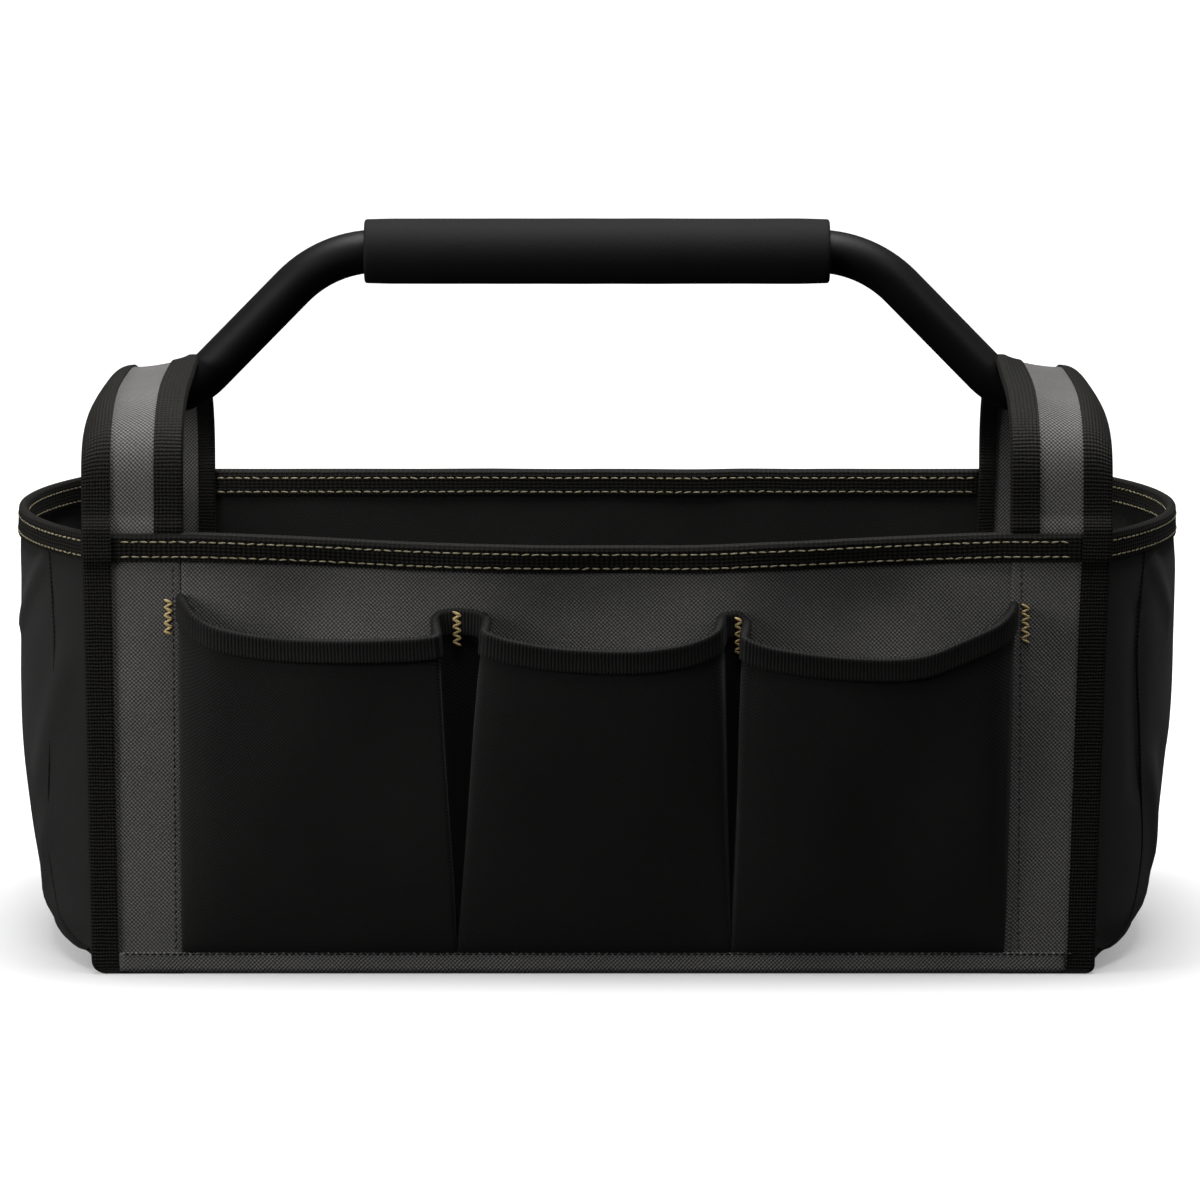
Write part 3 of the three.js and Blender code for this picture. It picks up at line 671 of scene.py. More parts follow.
def finish(context, name):
    """The material of one of the record's slots, or of a tape or thread of its own."""
    c = context.scene.tote_colours
    title, make, *values = {
        # Yarns are 0.87 mm apart, so the dots lie 1.7 mm apart along a row
        "grey_cloth": (
            "Woven Polyester 1200D, Grey", woven_polyester, c.grey_dark, c.grey_light,
            0.87, 0.2, 0.14, 0.8,
        ),
        # Yarns are about 0.5 mm apart. They are drawn at 0.8 mm so that they show.
        "black_cloth": (
            "Woven Polyester 600D, Black", woven_polyester, c.black_dark, c.black_light,
            0.8, 0.12, 0.12, 0.75,
        ),
        "black_tape": (
            "Grosgrain Tape, Black", grosgrain, c.tape_dark, c.tape_light, 2.1, 1.6, 0.3
        ),
        "binding": (
            "Grosgrain Binding, Black", grosgrain, c.tape_dark, c.tape_light, 1.5, 1.3, 0.35
        ),
        "pocket_tape": (
            "Grosgrain Pocket Tape, Black", grosgrain, c.tape_dark, c.black_light, 1.5, 30.0, 0.3
        ),
        "thread": ("Bonded Polyester Thread, Tan", spun_thread, c.thread),
        "bartack": ("Bonded Polyester Thread, Gold", spun_thread, c.bartack),
        "grey_thread": ("Bonded Polyester Thread, Grey", spun_thread, c.grey_dark),
        # The floor stitches take the tape's groove colour, which paints the shade of the groove
        # each stitch pulls into the cloth.
        "black_thread": ("Bonded Polyester Thread, Black", spun_thread, c.tape_dark),
        "painted_tube": ("Powder-Coated Steel Tube, Black", powder_coat, c.paint),
        "foam": ("Closed-Cell Foam, Black", closed_cell_foam, c.foam),
    }[name]
    return bpy.data.materials.get(title) or make(title, *values)


def smooth_object(context, name, shape, material):
    """A smooth-shaded object made of a bmesh shape."""
    mesh = bpy.data.meshes.new(name)
    shape.to_mesh(mesh)
    shape.free()
    mesh.polygons.foreach_set("use_smooth", [True] * len(mesh.polygons))
    mesh.materials.append(material)
    made = bpy.data.objects.new(name, mesh)
    context.scene.collection.objects.link(made)
    return made


def new_piece(context, name, shape, finish_name, *replaced):
    """A piece of the tote, on the body it rides, in place of the nodes it replaces."""
    piece = smooth_object(context, name, shape, finish(context, finish_name))
    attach(piece, "root")
    if replaced:
        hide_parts(*replaced)
    return piece


def cloth_grid(us, vs, place):
    """A flat grid bent to its places, in metres, with a UV map in metres along the cloth."""
    shape = bmesh.new()
    nx, ny = len(us) - 1, len(vs) - 1
    bmesh.ops.create_grid(shape, x_segments=nx, y_segments=ny, size=1.0)
    corner = {}
    grid = [[None] * (ny + 1) for _ in range(nx + 1)]
    for vert in shape.verts:
        i, j = round((vert.co.x + 1) / 2 * nx), round((vert.co.y + 1) / 2 * ny)
        corner[vert] = (i, j)
        vert.co = place(us[i], vs[j]) * MM
        grid[i][j] = vert.co.copy()
    along, across = [0.0], [0.0]
    for i in range(nx):
        step = sum((grid[i + 1][j] - grid[i][j]).length for j in range(ny + 1)) / (ny + 1)
        along.append(along[-1] + step)
    for j in range(ny):
        step = sum((grid[i][j + 1] - grid[i][j]).length for i in range(nx + 1)) / (nx + 1)
        across.append(across[-1] + step)
    layer = shape.loops.layers.uv.new("Cloth")
    for face in shape.faces:
        for loop in face.loops:
            i, j = corner[loop.vert]
            loop[layer].uv = (along[i], across[j])
    return shape


def cloth_piece(
    context, name, us, vs, place, finish_name, thickness, *replaced, edge=0.3, even=True
):
    """A grid of cloth or tape, thickened about its middle and with rounded edges. Sharply folded
    cloth does without the even offset, which would spike at the folds."""
    shape = cloth_grid(us, vs, place)
    bmesh.ops.recalc_face_normals(shape, faces=shape.faces)
    piece = new_piece(context, name, shape, finish_name, *replaced)
    solid = piece.modifiers.new("Thickness", "SOLIDIFY")
    solid.thickness = thickness * MM
    solid.offset = 0.0
    solid.use_even_offset = even
    soft = piece.modifiers.new("Soft Edge", "BEVEL")
    soft.width = edge * MM
    soft.segments = 2
    soft.limit_method = "ANGLE"
    soft.angle_limit = math.radians(50)


def fold_section(top, leg, outside, inside, steps=8):
    """Points (height, proud) down the middle of a tape folded over an edge."""
    radius = (outside - inside + TAPE) / 2
    middle = (outside + inside) / 2
    centre = top - TAPE / 2 - radius
    legs = span(top - leg, centre, 8)
    arc = [
        (centre + radius * math.sin(a) ** 0.7,
         middle + radius * math.copysign(abs(math.cos(a)) ** 0.7, math.cos(a)))
        for a in span(0, math.pi, steps)
    ][1:-1]
    return (
        [(h, middle + radius) for h in legs] + arc + [(h, middle - radius) for h in reversed(legs)]
    )


def ruffle(point, scale, amount):
    """A small smooth push out of line, for cloth that isn't quite flat."""
    return amount * noise.noise(Vector(point) * scale)


def tape_wave(x, height):
    """How far the rim tape stands out of line, which its stitches follow."""
    return ruffle((x, height * 0.2, 11), 0.06, 0.25)


def tape_rise(p, x):
    """How far the rim tape's edge wanders up and down."""
    return ruffle((x, 0, 15), 0.03, 0.35) * p.middle_share(x)


def crease(place, start, end, width, rise):
    """How far a crease from start to end lifts the cloth at a place."""
    start, place = Vector(start), Vector(place)
    line = Vector(end) - start
    share = min(max((place - start).dot(line) / line.length_squared, 0), 1)
    away = (place - start - line * share).length
    return rise * math.exp(-((away / width) ** 2))


class Maker:
    """What every operator of the panel shares. Each makes its pieces in make."""

    bl_options = {"REGISTER", "UNDO"}

    def execute(self, context):
        self.make(context, Pattern(context.scene.tote_sizes))
        return {"FINISHED"}


class TOTE_OT_lining(Maker, bpy.types.Operator):
    """Makes the black inner trough: front wall, floor and back wall in one run of cloth"""

    bl_idname = "tote.lining"
    bl_label = "Lining"

    def make(self, context, p):
        heights = span(p.wall_top, p.floor + EDGE_RADIUS, 36)
        turn = span(0, math.pi / 2, 8)[1:]
        run = [("front", h) for h in heights] + [("under", a, -1) for a in turn]
        run += [("under", a, 1) for a in reversed(turn)] + [("back", h) for h in reversed(heights)]

        reach = p.end_seam + LINING_LAP

        def upright(x, stop):
            if stop[0] == "front":
                return p.front(x, stop[1], ruffle((x, stop[1], 0), 0.02, 0.5))
            if stop[0] == "back":
                return p.back(x, stop[1], ruffle((x, stop[1], 9), 0.02, 0.8))
            corner = p.wall_mid - EDGE_RADIUS
            y = corner + EDGE_RADIUS * math.cos(stop[1])
            z = p.floor + EDGE_RADIUS - EDGE_RADIUS * math.sin(stop[1])
            out = y + (p.bow(x, z) if stop[2] < 0 else 0)
            return Vector((x, stop[2] * out, z))

        def place(x, stop):
            point = upright(x, stop)
            side = 1 if x > 0 else -1
            point.x -= side * OUTER_LEAN[side] * p.low(point.z) * (x / reach) ** 4
            return point

        cloth_piece(
            context, "lining", span(-reach, reach, 90), run, place, "black_cloth", WALL,
            "body_panel",
        )


class TOTE_OT_panels(Maker, bpy.types.Operator):
    """Makes the grey front and back panels and the floor panel with its turned-up edges"""

    bl_idname = "tote.panels"
    bl_label = "Grey Panels"

    def make(self, context, p):
        middle = p.wall_out + GAP + PANEL / 2
        columns = span(-p.panel_half, p.panel_half, 150)
        heights = span(p.floor, p.wall_top, 60)

        def front(x, height):
            return p.front(x, height, middle + ruffle((x, height, 3), 0.03, 1.0))

        def back(x, height):
            return p.back(x, height, middle + ruffle((x, height, 5), 0.02, 0.7))

        for name, place in (("front", front), ("back", back)):
            cloth_piece(
                context, f"{name}_cloth", columns, heights, place, "grey_cloth", PANEL,
                f"{name}_panel",
            )

        outer = p.wall_mid + p.strap_face + GAP + BASE_THICKNESS / 2
        half = BASE_THICKNESS / 2
        centre = (outer - BASE_CORNER, half + BASE_CORNER)
        edge = [(outer, z) for z in span(BASE_UPTURN, centre[1], 5)]
        edge += [
            (centre[0] + BASE_CORNER * math.cos(a), centre[1] - BASE_CORNER * math.sin(a))
            for a in span(0, math.pi / 2, 8)
        ][1:]
        level = [(y, half) for y in span(centre[0], -centre[0], 40)][1:-1]
        run = [(-y, z) for y, z in edge] + [(-y, z) for y, z in level]
        run += [(y, z) for y, z in reversed(edge)]
        reach = p.tube_end - GAP
        cloth_piece(
            context, "base_cloth", span(-reach, reach - INNER_LEAN[1], 150), run,
            lambda x, yz: Vector((x, *yz)), "grey_cloth", BASE_THICKNESS, "base_panel", edge=0.4,
        )


class TOTE_OT_ends(Maker, bpy.types.Operator):
    """Makes the bulging end walls, which round under at the foot, and their welted seams"""

    bl_idname = "tote.ends"
    bl_label = "End Walls"

    def make(self, context, p):
        for name, side in SIDES.items():
            foot = END_SECTIONS[-1][0]
            foot_depth = p.end_depth(side, foot)
            run = [("wall", share) for share in span(1.0, foot, 44)]
            run += [("under", u) for u in span(0, 1, 10)[1:]]

            def place(turn, stop, side=side, foot=foot, foot_depth=foot_depth):
                lift = END_FOOT_LIFT + END_CORNER_LIFT * smoothstep(abs(turn), 0.72, 1.0)
                kind, value = stop
                if kind == "wall":
                    spot = (-turn * p.wall_mid, value * p.rim_height)
                    out = ruffle((turn * 90, value * 180, 7 + side), 0.016, 1.6) * (1 - turn**2)
                    out += sum(crease(spot, *line) for line in END_CREASES[side])
                    point = p.end_wall(side, turn, value, out)
                    point.z += lift * (1 - smoothstep(value, foot, 0.14))
                    return point
                angle = min(value / 0.5, 1) * math.pi / 2
                drop = math.sin(angle) * (foot * p.rim_height - p.floor)
                depth = foot_depth * mix(END_UNDER_SHARE, 1, math.cos(angle))
                if value > 0.5:
                    depth *= (1 - value) / 0.5
                    lift *= 1 - smoothstep(value, 0.5, 1)
                return p.end(side, turn, depth, foot * p.rim_height - drop + lift, 0.0)

            cloth_piece(
                context, f"end_wall_{name}", span(-1, 1, 84), run, place, "black_cloth", PANEL,
                f"end_panel_{name}",
            )
            for edge, face in (("front", -1), ("back", 1)):
                line = [Vector((face * turn, share)) for turn, share in END_SEAM_LINE]

                def on_line(u, proud, line=line, side=side):
                    return p.end_wall(side, *through(line, min(max(u, 0), 1)), proud)

                def welt(u, a, on_line=on_line):
                    along = on_line(u + 0.01, PANEL / 2) - on_line(u - 0.01, PANEL / 2)
                    out = on_line(u, 2) - on_line(u, 0)
                    across = along.cross(out).normalized() * WELT_RADIUS * math.cos(a)
                    stand = PANEL / 2 + WELT_RADIUS * math.sin(a) - WELT_SINK
                    return on_line(u, stand) + across

                shape = cloth_grid(span(0, 1, 60), span(0, math.pi, 6), welt)
                bmesh.ops.recalc_face_normals(shape, faces=shape.faces)
                new_piece(context, f"end_welt_{edge}_{name}", shape, "black_tape")


class TOTE_OT_rim(Maker, bpy.types.Operator):
    """Makes the tape folded over the mouth of the trough"""

    bl_idname = "tote.rim"
    bl_label = "Rim Tape"

    def make(self, context, p):
        outside = p.strap_face + GAP
        inside = -(p.wall_out + GAP)
        section = fold_section(p.rim_height, p.rim_tape_height, outside, inside)
        reach = p.strap_outer - GAP
        columns = span(-reach, reach, 220)
        for name, wall in (("front", p.front), ("back", p.back)):

            def place(x, point, wall=wall):
                height, proud = point
                under_strap = smoothstep(abs(x), p.strap_inner - 6, p.strap_inner - 1)
                if proud < 0:
                    proud = mix(proud, max(proud, inside + 0.2), under_strap)
                return wall(x, height + tape_rise(p, x), proud + tape_wave(x, height))

            cloth_piece(
                context, f"rim_{name}", columns, section, place, "black_tape", TAPE,
                f"rim_tape_{name}",
            )
        clear = PANEL / 2 + GAP
        section = fold_section(p.rim_height, p.rim_tape_height, clear, -clear)
        for name, side in SIDES.items():

            def round_end(turn, point, side=side):
                height, proud = point
                depth = p.end_depth(side, height / p.rim_height)
                return p.end(side, turn, depth, height, proud)

            reach = 1 - RIM_END_GAP / p.wall_mid
            cloth_piece(
                context, f"rim_{name}", span(-reach, reach, 120), section, round_end,
                "black_tape", TAPE, f"rim_tape_{name}",
            )


class TOTE_OT_straps(Maker, bpy.types.Operator):
    """Makes the two straps, each of two layers sewn together over the tube"""

    bl_idname = "tote.straps"
    bl_label = "Straps"

    def make(self, context, p):
        line = p.strap_line()
        leg_end = p.rim_height - INNER_LEG_DROP
        for name, side in SIDES.items():
            for layer, sign, lowest in (("outer", 1, 0.0), ("inner", -1, leg_end)):
                stations = [s for s in line if s[1] >= lowest]

                def place(t, station, side=side, sign=sign):
                    z = station[1]
                    edge = p.strap_outer - (p.foot_inset(side, z) if station[4] == 0 else 0)
                    x = mix(p.strap_inner, edge, t)
                    return p.strap(side, station, x, sign * p.layer_stand(z))

                across = span(0, 1, 20) if side > 0 else span(1, 0, 20)
                nodes = [f"strap_{name}"] if sign > 0 else []
                cloth_piece(
                    context, f"strap_{layer}_{name}", across, stations, place, "grey_cloth",
                    STRAP_LAYER, *nodes,
                )


class TOTE_OT_bindings(Maker, bpy.types.Operator):
    """Makes the tape folded over both edges of each strap"""

    bl_idname = "tote.bindings"
    bl_label = "Strap Bindings"

    def make(self, context, p):
        line = p.strap_line()
        width = p.binding_width
        half = TAPE / 2
        for name, side in SIDES.items():
            for edge_name, inward in (("outer", -1), ("inner", 1)):
                at_outer = inward < 0
                lowest = 0.0 if at_outer else p.rim_height - INNER_LEG_DROP
                stations = [s for s in line if s[1] >= lowest]
                section = (
                    [("out", d) for d in span(1, 0, 10)]
                    + [("turn", a) for a in span(0, math.pi, 8)[1:-1]]
                    + [("in", d) for d in span(0, 1, 10)]
                )

                def place(station, stop, side=side, at_outer=at_outer, inward=inward):
                    z = station[1]
                    leg = station[4] == 0
                    edge = p.strap_outer if at_outer else p.strap_inner
                    if at_outer and leg:
                        edge -= p.foot_inset(side, z)
                    together = p.fork(z)
                    stand = p.layer_stand(z) + STRAP_LAYER / 2 + half
                    over_tape = smoothstep(
                        z, p.rim_height - p.rim_tape_height - 2.5,
                        p.rim_height - p.rim_tape_height + 0.5,
                    )
                    below = p.strap_face + GAP + half + (TAPE + GAP) * over_tape
                    at_back = smoothstep(station[0], 0, p.wall_mid * 0.9)
                    out_reach = width * BINDING_REACH
                    in_reach = width * mix(BINDING_REACH, BINDING_BACK_REACH, at_back)
                    if at_outer:
                        outside = mix(below, stand, together)
                        inside = mix(-p.wall_out, -stand, together)
                        in_reach = width * mix(BINDING_LEG_REACH, BINDING_REACH, together)
                    else:
                        outside, inside = stand, -stand
                        tucked = 1 - smoothstep(z, p.rim_height - 3, p.rim_height + 2)
                        outside = mix(outside, p.strap_face - 0.5, tucked)
                        if z < p.rim_height - 3:
                            outside = -p.wall_out - half
                            out_reach = 1.0
                    kind, value = stop
                    radius = (outside - inside) / 2
                    middle = (outside + inside) / 2
                    if kind == "turn":
                        depth = -min(radius, BINDING_BULGE) * math.sin(value)
                        proud = middle + radius * math.cos(value)
                    elif kind == "out":
                        depth, proud = out_reach * value, outside
                    else:
                        depth, proud = in_reach * value, inside
                    point = p.strap(side, station, edge + inward * depth, proud)
                    point.z += BINDING_FOOT_RISE * (1 - smoothstep(z, 0, 3)) if leg else 0
                    return point

                cloth_piece(
                    context, f"binding_{edge_name}_{name}", stations, section, place, "binding",
                    TAPE, f"strap_{edge_name}_binding_{name}", edge=0.35,
                )


class TOTE_OT_pockets(Maker, bpy.types.Operator):
    """Makes the three gathered pockets and the tape on their mouths"""

    bl_idname = "tote.pockets"
    bl_label = "Pockets"

    def make(self, context, p):
        for name, folds in POCKET_FOLDS.items():
            rows = p.pocket_rows(folds, POCKET_COLUMNS)
            phase = 20 + len(name)

            def slack(i, up, rows=rows, phase=phase):
                free = min(rows[i][2], 1) * math.sin(math.pi * min(max(up, 0), 1)) ** 0.7
                x = rows[i][0] * p.panel_half
                return ruffle((x, up * 60, phase), 0.022, POCKET_SLACK) * free

            def place(i, up, rows=rows, slack=slack):
                return p.pocket(rows, i, up, slack(i, up))

            columns = list(range(POCKET_COLUMNS + 1))
            cloth_piece(
                context, f"pocket_cloth_{name}", columns, span(0, 1, 48), place, "black_cloth",
                PANEL, f"pocket_{name}", even=False,
            )

            clear = PANEL / 2 + GAP
            height = p.rim_height * folds[0][3] - POCKET_BASE
            section = fold_section(TAPE + GAP, p.pocket_tape_height, clear, -clear)

            def tape(i, point, rows=rows, height=height, clear=clear):
                up = 1 + point[0] / height
                proud = point[1]
                room = p.pocket_swell * rows[i][2]
                if proud < 0:
                    proud = max(proud, -max(room - 0.4, 0.1))
                return p.pocket(rows, i, up, proud)

            cloth_piece(
                context, f"pocket_edge_{name}", columns, section, tape, "pocket_tape", TAPE,
                f"pocket_tape_{name}", even=False,
            )


def add_stitches(shape, places, length, width, height):
    """Adds a stitch, a flattened bead, at each (point, along, out) in millimetres. They are made
    in short runs, because an operator slows down as its mesh grows."""
    size = Matrix.Diagonal((length / 2 * MM, width / 2 * MM, height / 2 * MM, 1))
    for start in range(0, len(places), SEWN_RUN):
        run = bmesh.new()
        for point, along, out in places[start : start + SEWN_RUN]:
            along = along.normalized()
            side = out.cross(along).normalized()
            turn = Matrix((along, side, along.cross(side))).transposed().to_4x4()
            bmesh.ops.create_uvsphere(
                run, u_segments=8, v_segments=6, radius=1.0,
                matrix=Matrix.Translation(point * MM) @ turn @ size,
            )
        sewn = bpy.data.meshes.new("sewn")
        run.to_mesh(sewn)
        run.free()
        shape.from_mesh(sewn)
        bpy.data.meshes.remove(sewn)


def sew(shape, path, pitch, length, width, height):
    """Adds a row of stitches on a path, a list of (point, out)."""
    places = []
    travelled, due = 0.0, pitch / 2
    for (a, out), (b, _) in zip(path, path[1:]):
        step = (b - a).length
        while step > 0 and due <= travelled + step:
            point = a.lerp(b, (due - travelled) / step)
            tilt = out.cross(b - a).normalized() * ruffle(point, 0.37, 0.3) * step
            places.append((point, b - a + tilt, out))
            due += pitch * (1 + ruffle(point, 0.53, 0.12))
        travelled += step
    add_stitches(shape, places, length, width, height)


class TOTE_OT_stitching(Maker, bpy.types.Operator):
    """Sews the rows of stitches on the rim tape, the straps and the floor panel"""

    bl_idname = "tote.stitching"
    bl_label = "Stitching"

    def make(self, context, p):
        rim_stitch = (p.stitch_pitch, STITCH_SHARE * p.stitch_pitch, 0.8, 0.55)
        faces = (
            (1, p.strap_face + GAP + TAPE, p.strap_outer - p.binding_width - 1),
            (-1, -(p.wall_out + GAP + TAPE), p.strap_inner - 2),
        )
        for name, wall, way in (("front", p.front, -1), ("back", p.back, 1)):
            shape = bmesh.new()
            for sign, face, reach in faces:
                out = Vector((0, way * sign, 0))
                for drop in RIM_ROWS:
                    height = p.rim_height - drop
                    path = [
                        (wall(x, height + tape_rise(p, x), face + tape_wave(x, height)), out)
                        for x in span(-reach, reach, 300)
                    ]
                    sew(shape, path, *rim_stitch)
            new_piece(context, f"rim_stitches_{name}", shape, "thread")
        clear = PANEL / 2 + GAP + TAPE
        for name, side in SIDES.items():
            shape = bmesh.new()
            for drop in RIM_ROWS:
                height = p.rim_height - drop
                depth = p.end_depth(side, height / p.rim_height)
                for sign in (1, -1):
                    path = []
                    for turn in span(-END_SEWN_SHARE, END_SEWN_SHARE, 160):
                        point = p.end(side, turn, depth, height, sign * clear)
                        outer = p.end(side, turn, depth, height, sign * (clear + 1))
                        path.append((point, outer - point))
                    sew(shape, path, *rim_stitch)
            new_piece(context, f"rim_stitches_{name}", shape, "thread")
        shape = bmesh.new()
        heights = span(BASE_UPTURN + 1, p.rim_height - p.rim_tape_height - 1, 80)
        for side in (-1, 1):
            for way in (-1, 1):
                x = side * (p.strap_inner + STRAP_SEAM_INSET)
                y = way * (p.wall_mid + p.strap_face)
                path = [(Vector((x, y, z)), Vector((0, way, 0))) for z in heights]
                sew(shape, path, *STRAP_STITCH)
        new_piece(context, "strap_stitches", shape, "grey_thread")
        # The floor panel's stitches lie over its top edge in a near-black colour. They are real
        # stitches, coloured with painted shade of the groove they pull into the cloth.
        shape = bmesh.new()
        face = p.wall_mid + p.strap_face + GAP + BASE_THICKNESS
        reach = p.tube_end - 2
        for way in (-1, 1):
            path = [
                (Vector((x, way * face, BASE_UPTURN - BASE_SEAM_INSET)), Vector((0, way, 0)))
                for x in span(-reach, reach, 9)
            ]
            sew(shape, path, *BASE_STITCH)
        new_piece(context, "base_stitches", shape, "black_thread")


class TOTE_OT_bartacks(Maker, bpy.types.Operator):
    """Sews the zigzag bartacks at the corners of the pockets"""

    bl_idname = "tote.bartacks"
    bl_label = "Bartacks"

    def make(self, context, p):
        strap_face = p.wall_mid + p.strap_face
        panel_face = p.wall_mid + POCKET_FACE + PANEL / 2 + GAP + TAPE
        spots = [
            (x + math.copysign(p.strap_inner, x), top, bottom, strap_face)
            for x, top, bottom in STRAP_BARTACKS
        ]
        spots += [(*spot, panel_face) for spot in PLEAT_BARTACKS]
        out = Vector((0, -1, 0))
        shape = bmesh.new()
        for x, top, bottom, face in spots:
            corners = []
            for i, z in enumerate(span(top, bottom, BARTACK_STEPS)):
                shift = BARTACK_HALF_WIDTH if i % 2 else -BARTACK_HALF_WIDTH
                stand = face + (p.bow(x, z) if abs(x) < p.strap_inner else 0)
                corners.append(Vector((x + shift, -stand - 0.3, z)))
            for a, b in zip(corners, corners[1:]):
                length = (b - a).length * 1.1
                add_stitches(shape, [((a + b) / 2, b - a, out)], length, *BARTACK_THREAD)
        new_piece(context, "bartacks", shape, "bartack")


class TOTE_OT_handle(Maker, bpy.types.Operator):
    """Makes the bent steel tube"""

    bl_idname = "tote.handle"
    bl_label = "Handle Tube"

    def make(self, context, p):
        curve = bpy.data.curves.new("handle_path", "CURVE")
        curve.dimensions = "3D"
        curve.twist_mode = "Z_UP"
        curve.bevel_depth = p.tube_radius * MM
        curve.bevel_resolution = 10
        curve.use_fill_caps = True
        line = p.tube_line()
        spline = curve.splines.new("POLY")
        spline.points.add(len(line) - 1)
        for point, place in zip(spline.points, line):
            point.co = (*(place * MM), 1)
        path = bpy.data.objects.new("handle_path", curve)
        context.scene.collection.objects.link(path)
        context.view_layer.update()
        mesh = bpy.data.meshes.new_from_object(path)
        shape = bmesh.new()
        shape.from_mesh(mesh)
        bmesh.ops.remove_doubles(shape, verts=shape.verts, dist=0.01 * MM)
        bmesh.ops.recalc_face_normals(shape, faces=shape.faces)
        ends = [
            e for e in shape.edges
            if len(e.link_faces) == 2 and e.calc_face_angle(0) > math.radians(60)
        ]
        bmesh.ops.bevel(
            shape, geom=ends, offset=TUBE_EDGE * MM, segments=3, profile=0.5, affect="EDGES",
            material=-1,
        )
        bpy.data.objects.remove(path)
        bpy.data.curves.remove(curve)
        bpy.data.meshes.remove(mesh)
        new_piece(context, "tube", shape, "painted_tube", "handle_tube")


class TOTE_OT_grip(Maker, bpy.types.Operator):
    """Makes the foam sleeve on the middle of the tube"""

    bl_idname = "tote.grip"
    bl_label = "Foam Grip"

    def make(self, context, p):
        low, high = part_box("foam_grip")
        half = (high.x - low.x) / 2 / MM
        bore = p.tube_radius + GRIP_PLAY
        body = p.grip_radius - GRIP_CROWN
        shoulder = [
            (half - GRIP_SHOULDER * (1 - math.cos(a)), body - GRIP_SHOULDER * (1 - math.sin(a)))
            for a in span(0, math.pi / 2, 4)
        ]
        profile = [(-half, bore)] + [(-x, r) for x, r in shoulder]
        for x in span(-half + 4, half - 4, 60):
            crown = GRIP_CROWN * (1 - smoothstep(abs(x), half - 14, half))
            profile.append((x, body + crown + ruffle((x, 0, 31), 0.04, 0.12)))
        profile += shoulder[::-1] + [(half, bore)]
        shape = bmesh.new()
        verts = [shape.verts.new((x * MM, 0, r * MM)) for x, r in profile]
        edges = [shape.edges.new(pair) for pair in zip(verts, verts[1:] + verts[:1])]
        bmesh.ops.spin(
            shape, geom=verts + edges, cent=(0, 0, 0), axis=(1, 0, 0), dvec=(0, 0, 0),
            angle=2 * math.pi, steps=72, use_merge=True, use_duplicate=False,
        )
        bmesh.ops.remove_doubles(shape, verts=shape.verts, dist=0.001 * MM)
        bmesh.ops.recalc_face_normals(shape, faces=shape.faces)
        bmesh.ops.translate(shape, verts=shape.verts, vec=(0, 0, p.handle_height * MM))
        piece = new_piece(context, "grip_sleeve", shape, "foam", "foam_grip")


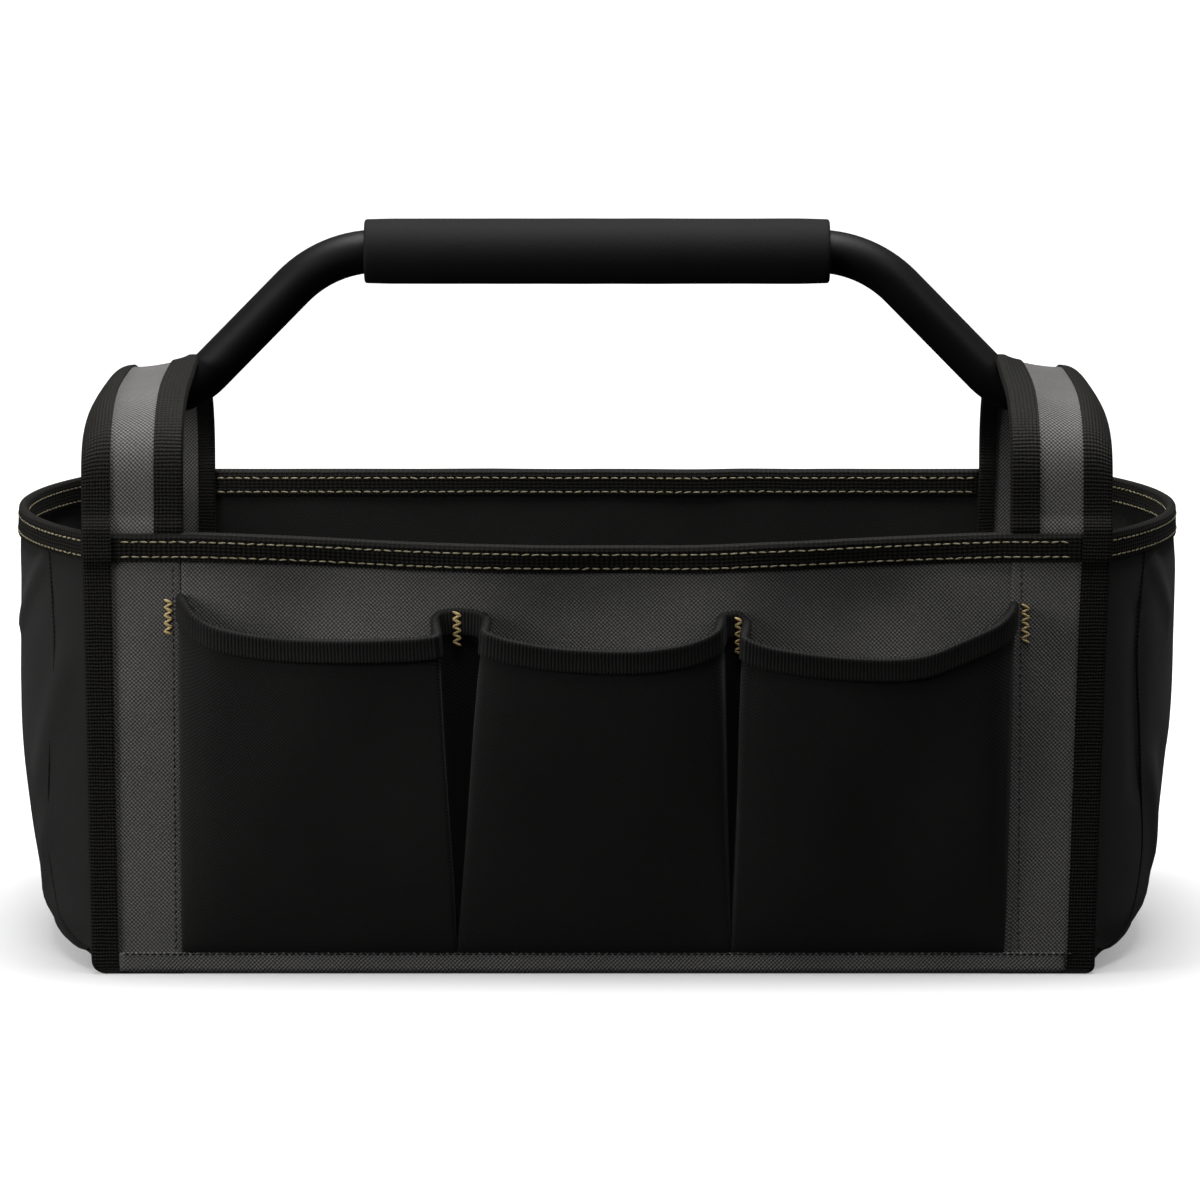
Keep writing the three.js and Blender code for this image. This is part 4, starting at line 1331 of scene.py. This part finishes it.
class TOTE_OT_stage(Maker, bpy.types.Operator):
    """Makes the pale floor and backdrop, the soft studio lights and the camera"""

    bl_idname = "tote.stage"
    bl_label = "Stage"

    def make(self, context, p):
        scene = context.scene
        scene.view_settings.view_transform = "Standard"
        scene.view_settings.look = "None"

        # One sheet that lies as the floor and curves up behind as the backdrop. The curve starts
        # past the camera's distance, so that views from behind aren't hidden by it.
        run = [(y, 0.0) for y in span(-SHEET_REACH, CURVE_START, 12)]
        run += [
            (CURVE_START + CURVE_RADIUS * math.sin(a), CURVE_RADIUS * (1 - math.cos(a)))
            for a in span(0, math.pi / 2, 12)
        ][1:]
        run.append((CURVE_START + CURVE_RADIUS, SHEET_REACH / 2))
        columns = span(-SHEET_REACH, SHEET_REACH, 4)
        shape = cloth_grid(columns, run, lambda x, yz: Vector((x, *yz)))
        material, tree, shader = new_material("Matt Paper, White", {
            "Base Color": (0.42, 0.42, 0.42, 1), "Roughness": 0.9, "Specular IOR Level": 0.0,
            "Emission Color": (1, 1, 1, 1),
        })
        sheet = smooth_object(context, "backdrop", shape, material)
        # The sheet glows so that the floor and backdrop read white far from the lamps. Close round
        # the tote's footprint it glows less, which paints a contact shadow under the tote.
        place = add(tree, "ShaderNodeTexCoord").outputs["Object"]
        mirrored = add(tree, "ShaderNodeVectorMath", {0: place}, operation="ABSOLUTE").outputs[0]
        past = add(
            tree, "ShaderNodeVectorMath", {0: mirrored, 1: (0.2, 0.1, 0.0)}, operation="SUBTRACT"
        ).outputs[0]
        outside = add(
            tree, "ShaderNodeVectorMath", {0: past, 1: (0.0, 0.0, 0.0)}, operation="MAXIMUM"
        ).outputs[0]
        away = add(tree, "ShaderNodeVectorMath", {0: outside}, operation="LENGTH").outputs["Value"]
        glow_and_painted_shadow = 0.0
        for start, end, low, high in ((0.0, 0.11, 0.2, 0.75), (0.11, 0.9, 0.0, 0.3)):
            ring = add(
                tree, "ShaderNodeMapRange",
                {"Value": away, "From Min": start, "From Max": end, "To Min": low, "To Max": high},
            ).outputs[0]
            glow_and_painted_shadow = add(tree, "ShaderNodeMath", {0: ring, 1: glow_and_painted_shadow}, operation="ADD").outputs[0]
        tree.links.new(glow_and_painted_shadow, shader.inputs["Emission Strength"])
        sheet.visible_diffuse = False
        sheet.visible_glossy = False

        world = bpy.data.worlds.new("Studio")
        world.use_nodes = True
        tree = world.node_tree
        tree.nodes.clear()
        direction = add(tree, "ShaderNodeTexCoord").outputs["Generated"]
        height = add(tree, "ShaderNodeSeparateXYZ", {"Vector": direction}).outputs["Z"]
        light = add(
            tree, "ShaderNodeMapRange",
            {"Value": height, "From Min": -0.3, "From Max": 0.8, "To Min": 0.02, "To Max": 0.22},
        )
        background = add(
            tree, "ShaderNodeBackground", {"Color": (1, 1, 1, 1), "Strength": light.outputs[0]}
        )
        add(tree, "ShaderNodeOutputWorld", {"Surface": background.outputs[0]})
        scene.world = world

        for name, place, size, power in (
            ("key", (-0.95, -0.5, 0.4), 0.45, 5.5),
            ("top", (0.0, -0.1, 1.9), 1.5, 52.0),
            ("fill", (1.4, -1.3, 1.3), 0.9, 3.0),
        ):
            lamp = bpy.data.lights.new(name, "AREA")
            lamp.shape = "DISK"
            lamp.size = size
            lamp.energy = power
            holder = bpy.data.objects.new(name, lamp)
            holder.location = place
            aim = Vector((0, 0, 0.15)) - Vector(place)
            holder.rotation_euler = aim.to_track_quat("-Z", "Y").to_euler()
            holder.visible_camera = False
            scene.collection.objects.link(holder)

        distance, elevation = 2.873, math.radians(7.8)
        aim = Vector((0.0013, 0.0, 0.1443))
        view = bpy.data.cameras.new("camera")
        view.lens = 196.0
        view.sensor_width = 36.0
        view.clip_end = 50.0
        camera = bpy.data.objects.new("camera", view)
        camera.location = aim + distance * Vector((0, -math.cos(elevation), math.sin(elevation)))
        camera.rotation_euler = (aim - camera.location).to_track_quat("-Z", "Y").to_euler()
        scene.collection.objects.link(camera)
        scene.camera = camera


MAKERS = (
    TOTE_OT_stage,
    TOTE_OT_lining,
    TOTE_OT_panels,
    TOTE_OT_ends,
    TOTE_OT_rim,
    TOTE_OT_straps,
    TOTE_OT_bindings,
    TOTE_OT_pockets,
    TOTE_OT_stitching,
    TOTE_OT_bartacks,
    TOTE_OT_handle,
    TOTE_OT_grip,
)


class TOTE_PT_panel(bpy.types.Panel):
    """Lists the tote's sizes, colours and pieces"""

    bl_idname = "TOTE_PT_panel"
    bl_label = "Tool Tote"
    bl_space_type = "VIEW_3D"
    bl_region_type = "UI"
    bl_category = "Tote"

    def draw(self, context):
        layout = self.layout
        for group, kind in (
            (context.scene.tote_sizes, ToteSizes), (context.scene.tote_colours, ToteColours)
        ):
            column = layout.column(align=True)
            for name in kind.__annotations__:
                column.prop(group, name)
        column = layout.column(align=True)
        for maker in MAKERS:
            column.operator(maker.bl_idname)


CLASSES = (ToteSizes, ToteColours, *MAKERS, TOTE_PT_panel)


def register():
    for kind in CLASSES:
        bpy.utils.register_class(kind)
    bpy.types.Scene.tote_sizes = PointerProperty(type=ToteSizes)
    bpy.types.Scene.tote_colours = PointerProperty(type=ToteColours)


def unregister():
    del bpy.types.Scene.tote_colours
    del bpy.types.Scene.tote_sizes
    for kind in reversed(CLASSES):
        bpy.utils.unregister_class(kind)


def main():
    register()
    for maker in MAKERS:
        group, name = maker.bl_idname.split(".")
        getattr(getattr(bpy.ops, group), name)()


if __name__ == "__main__":
    main()
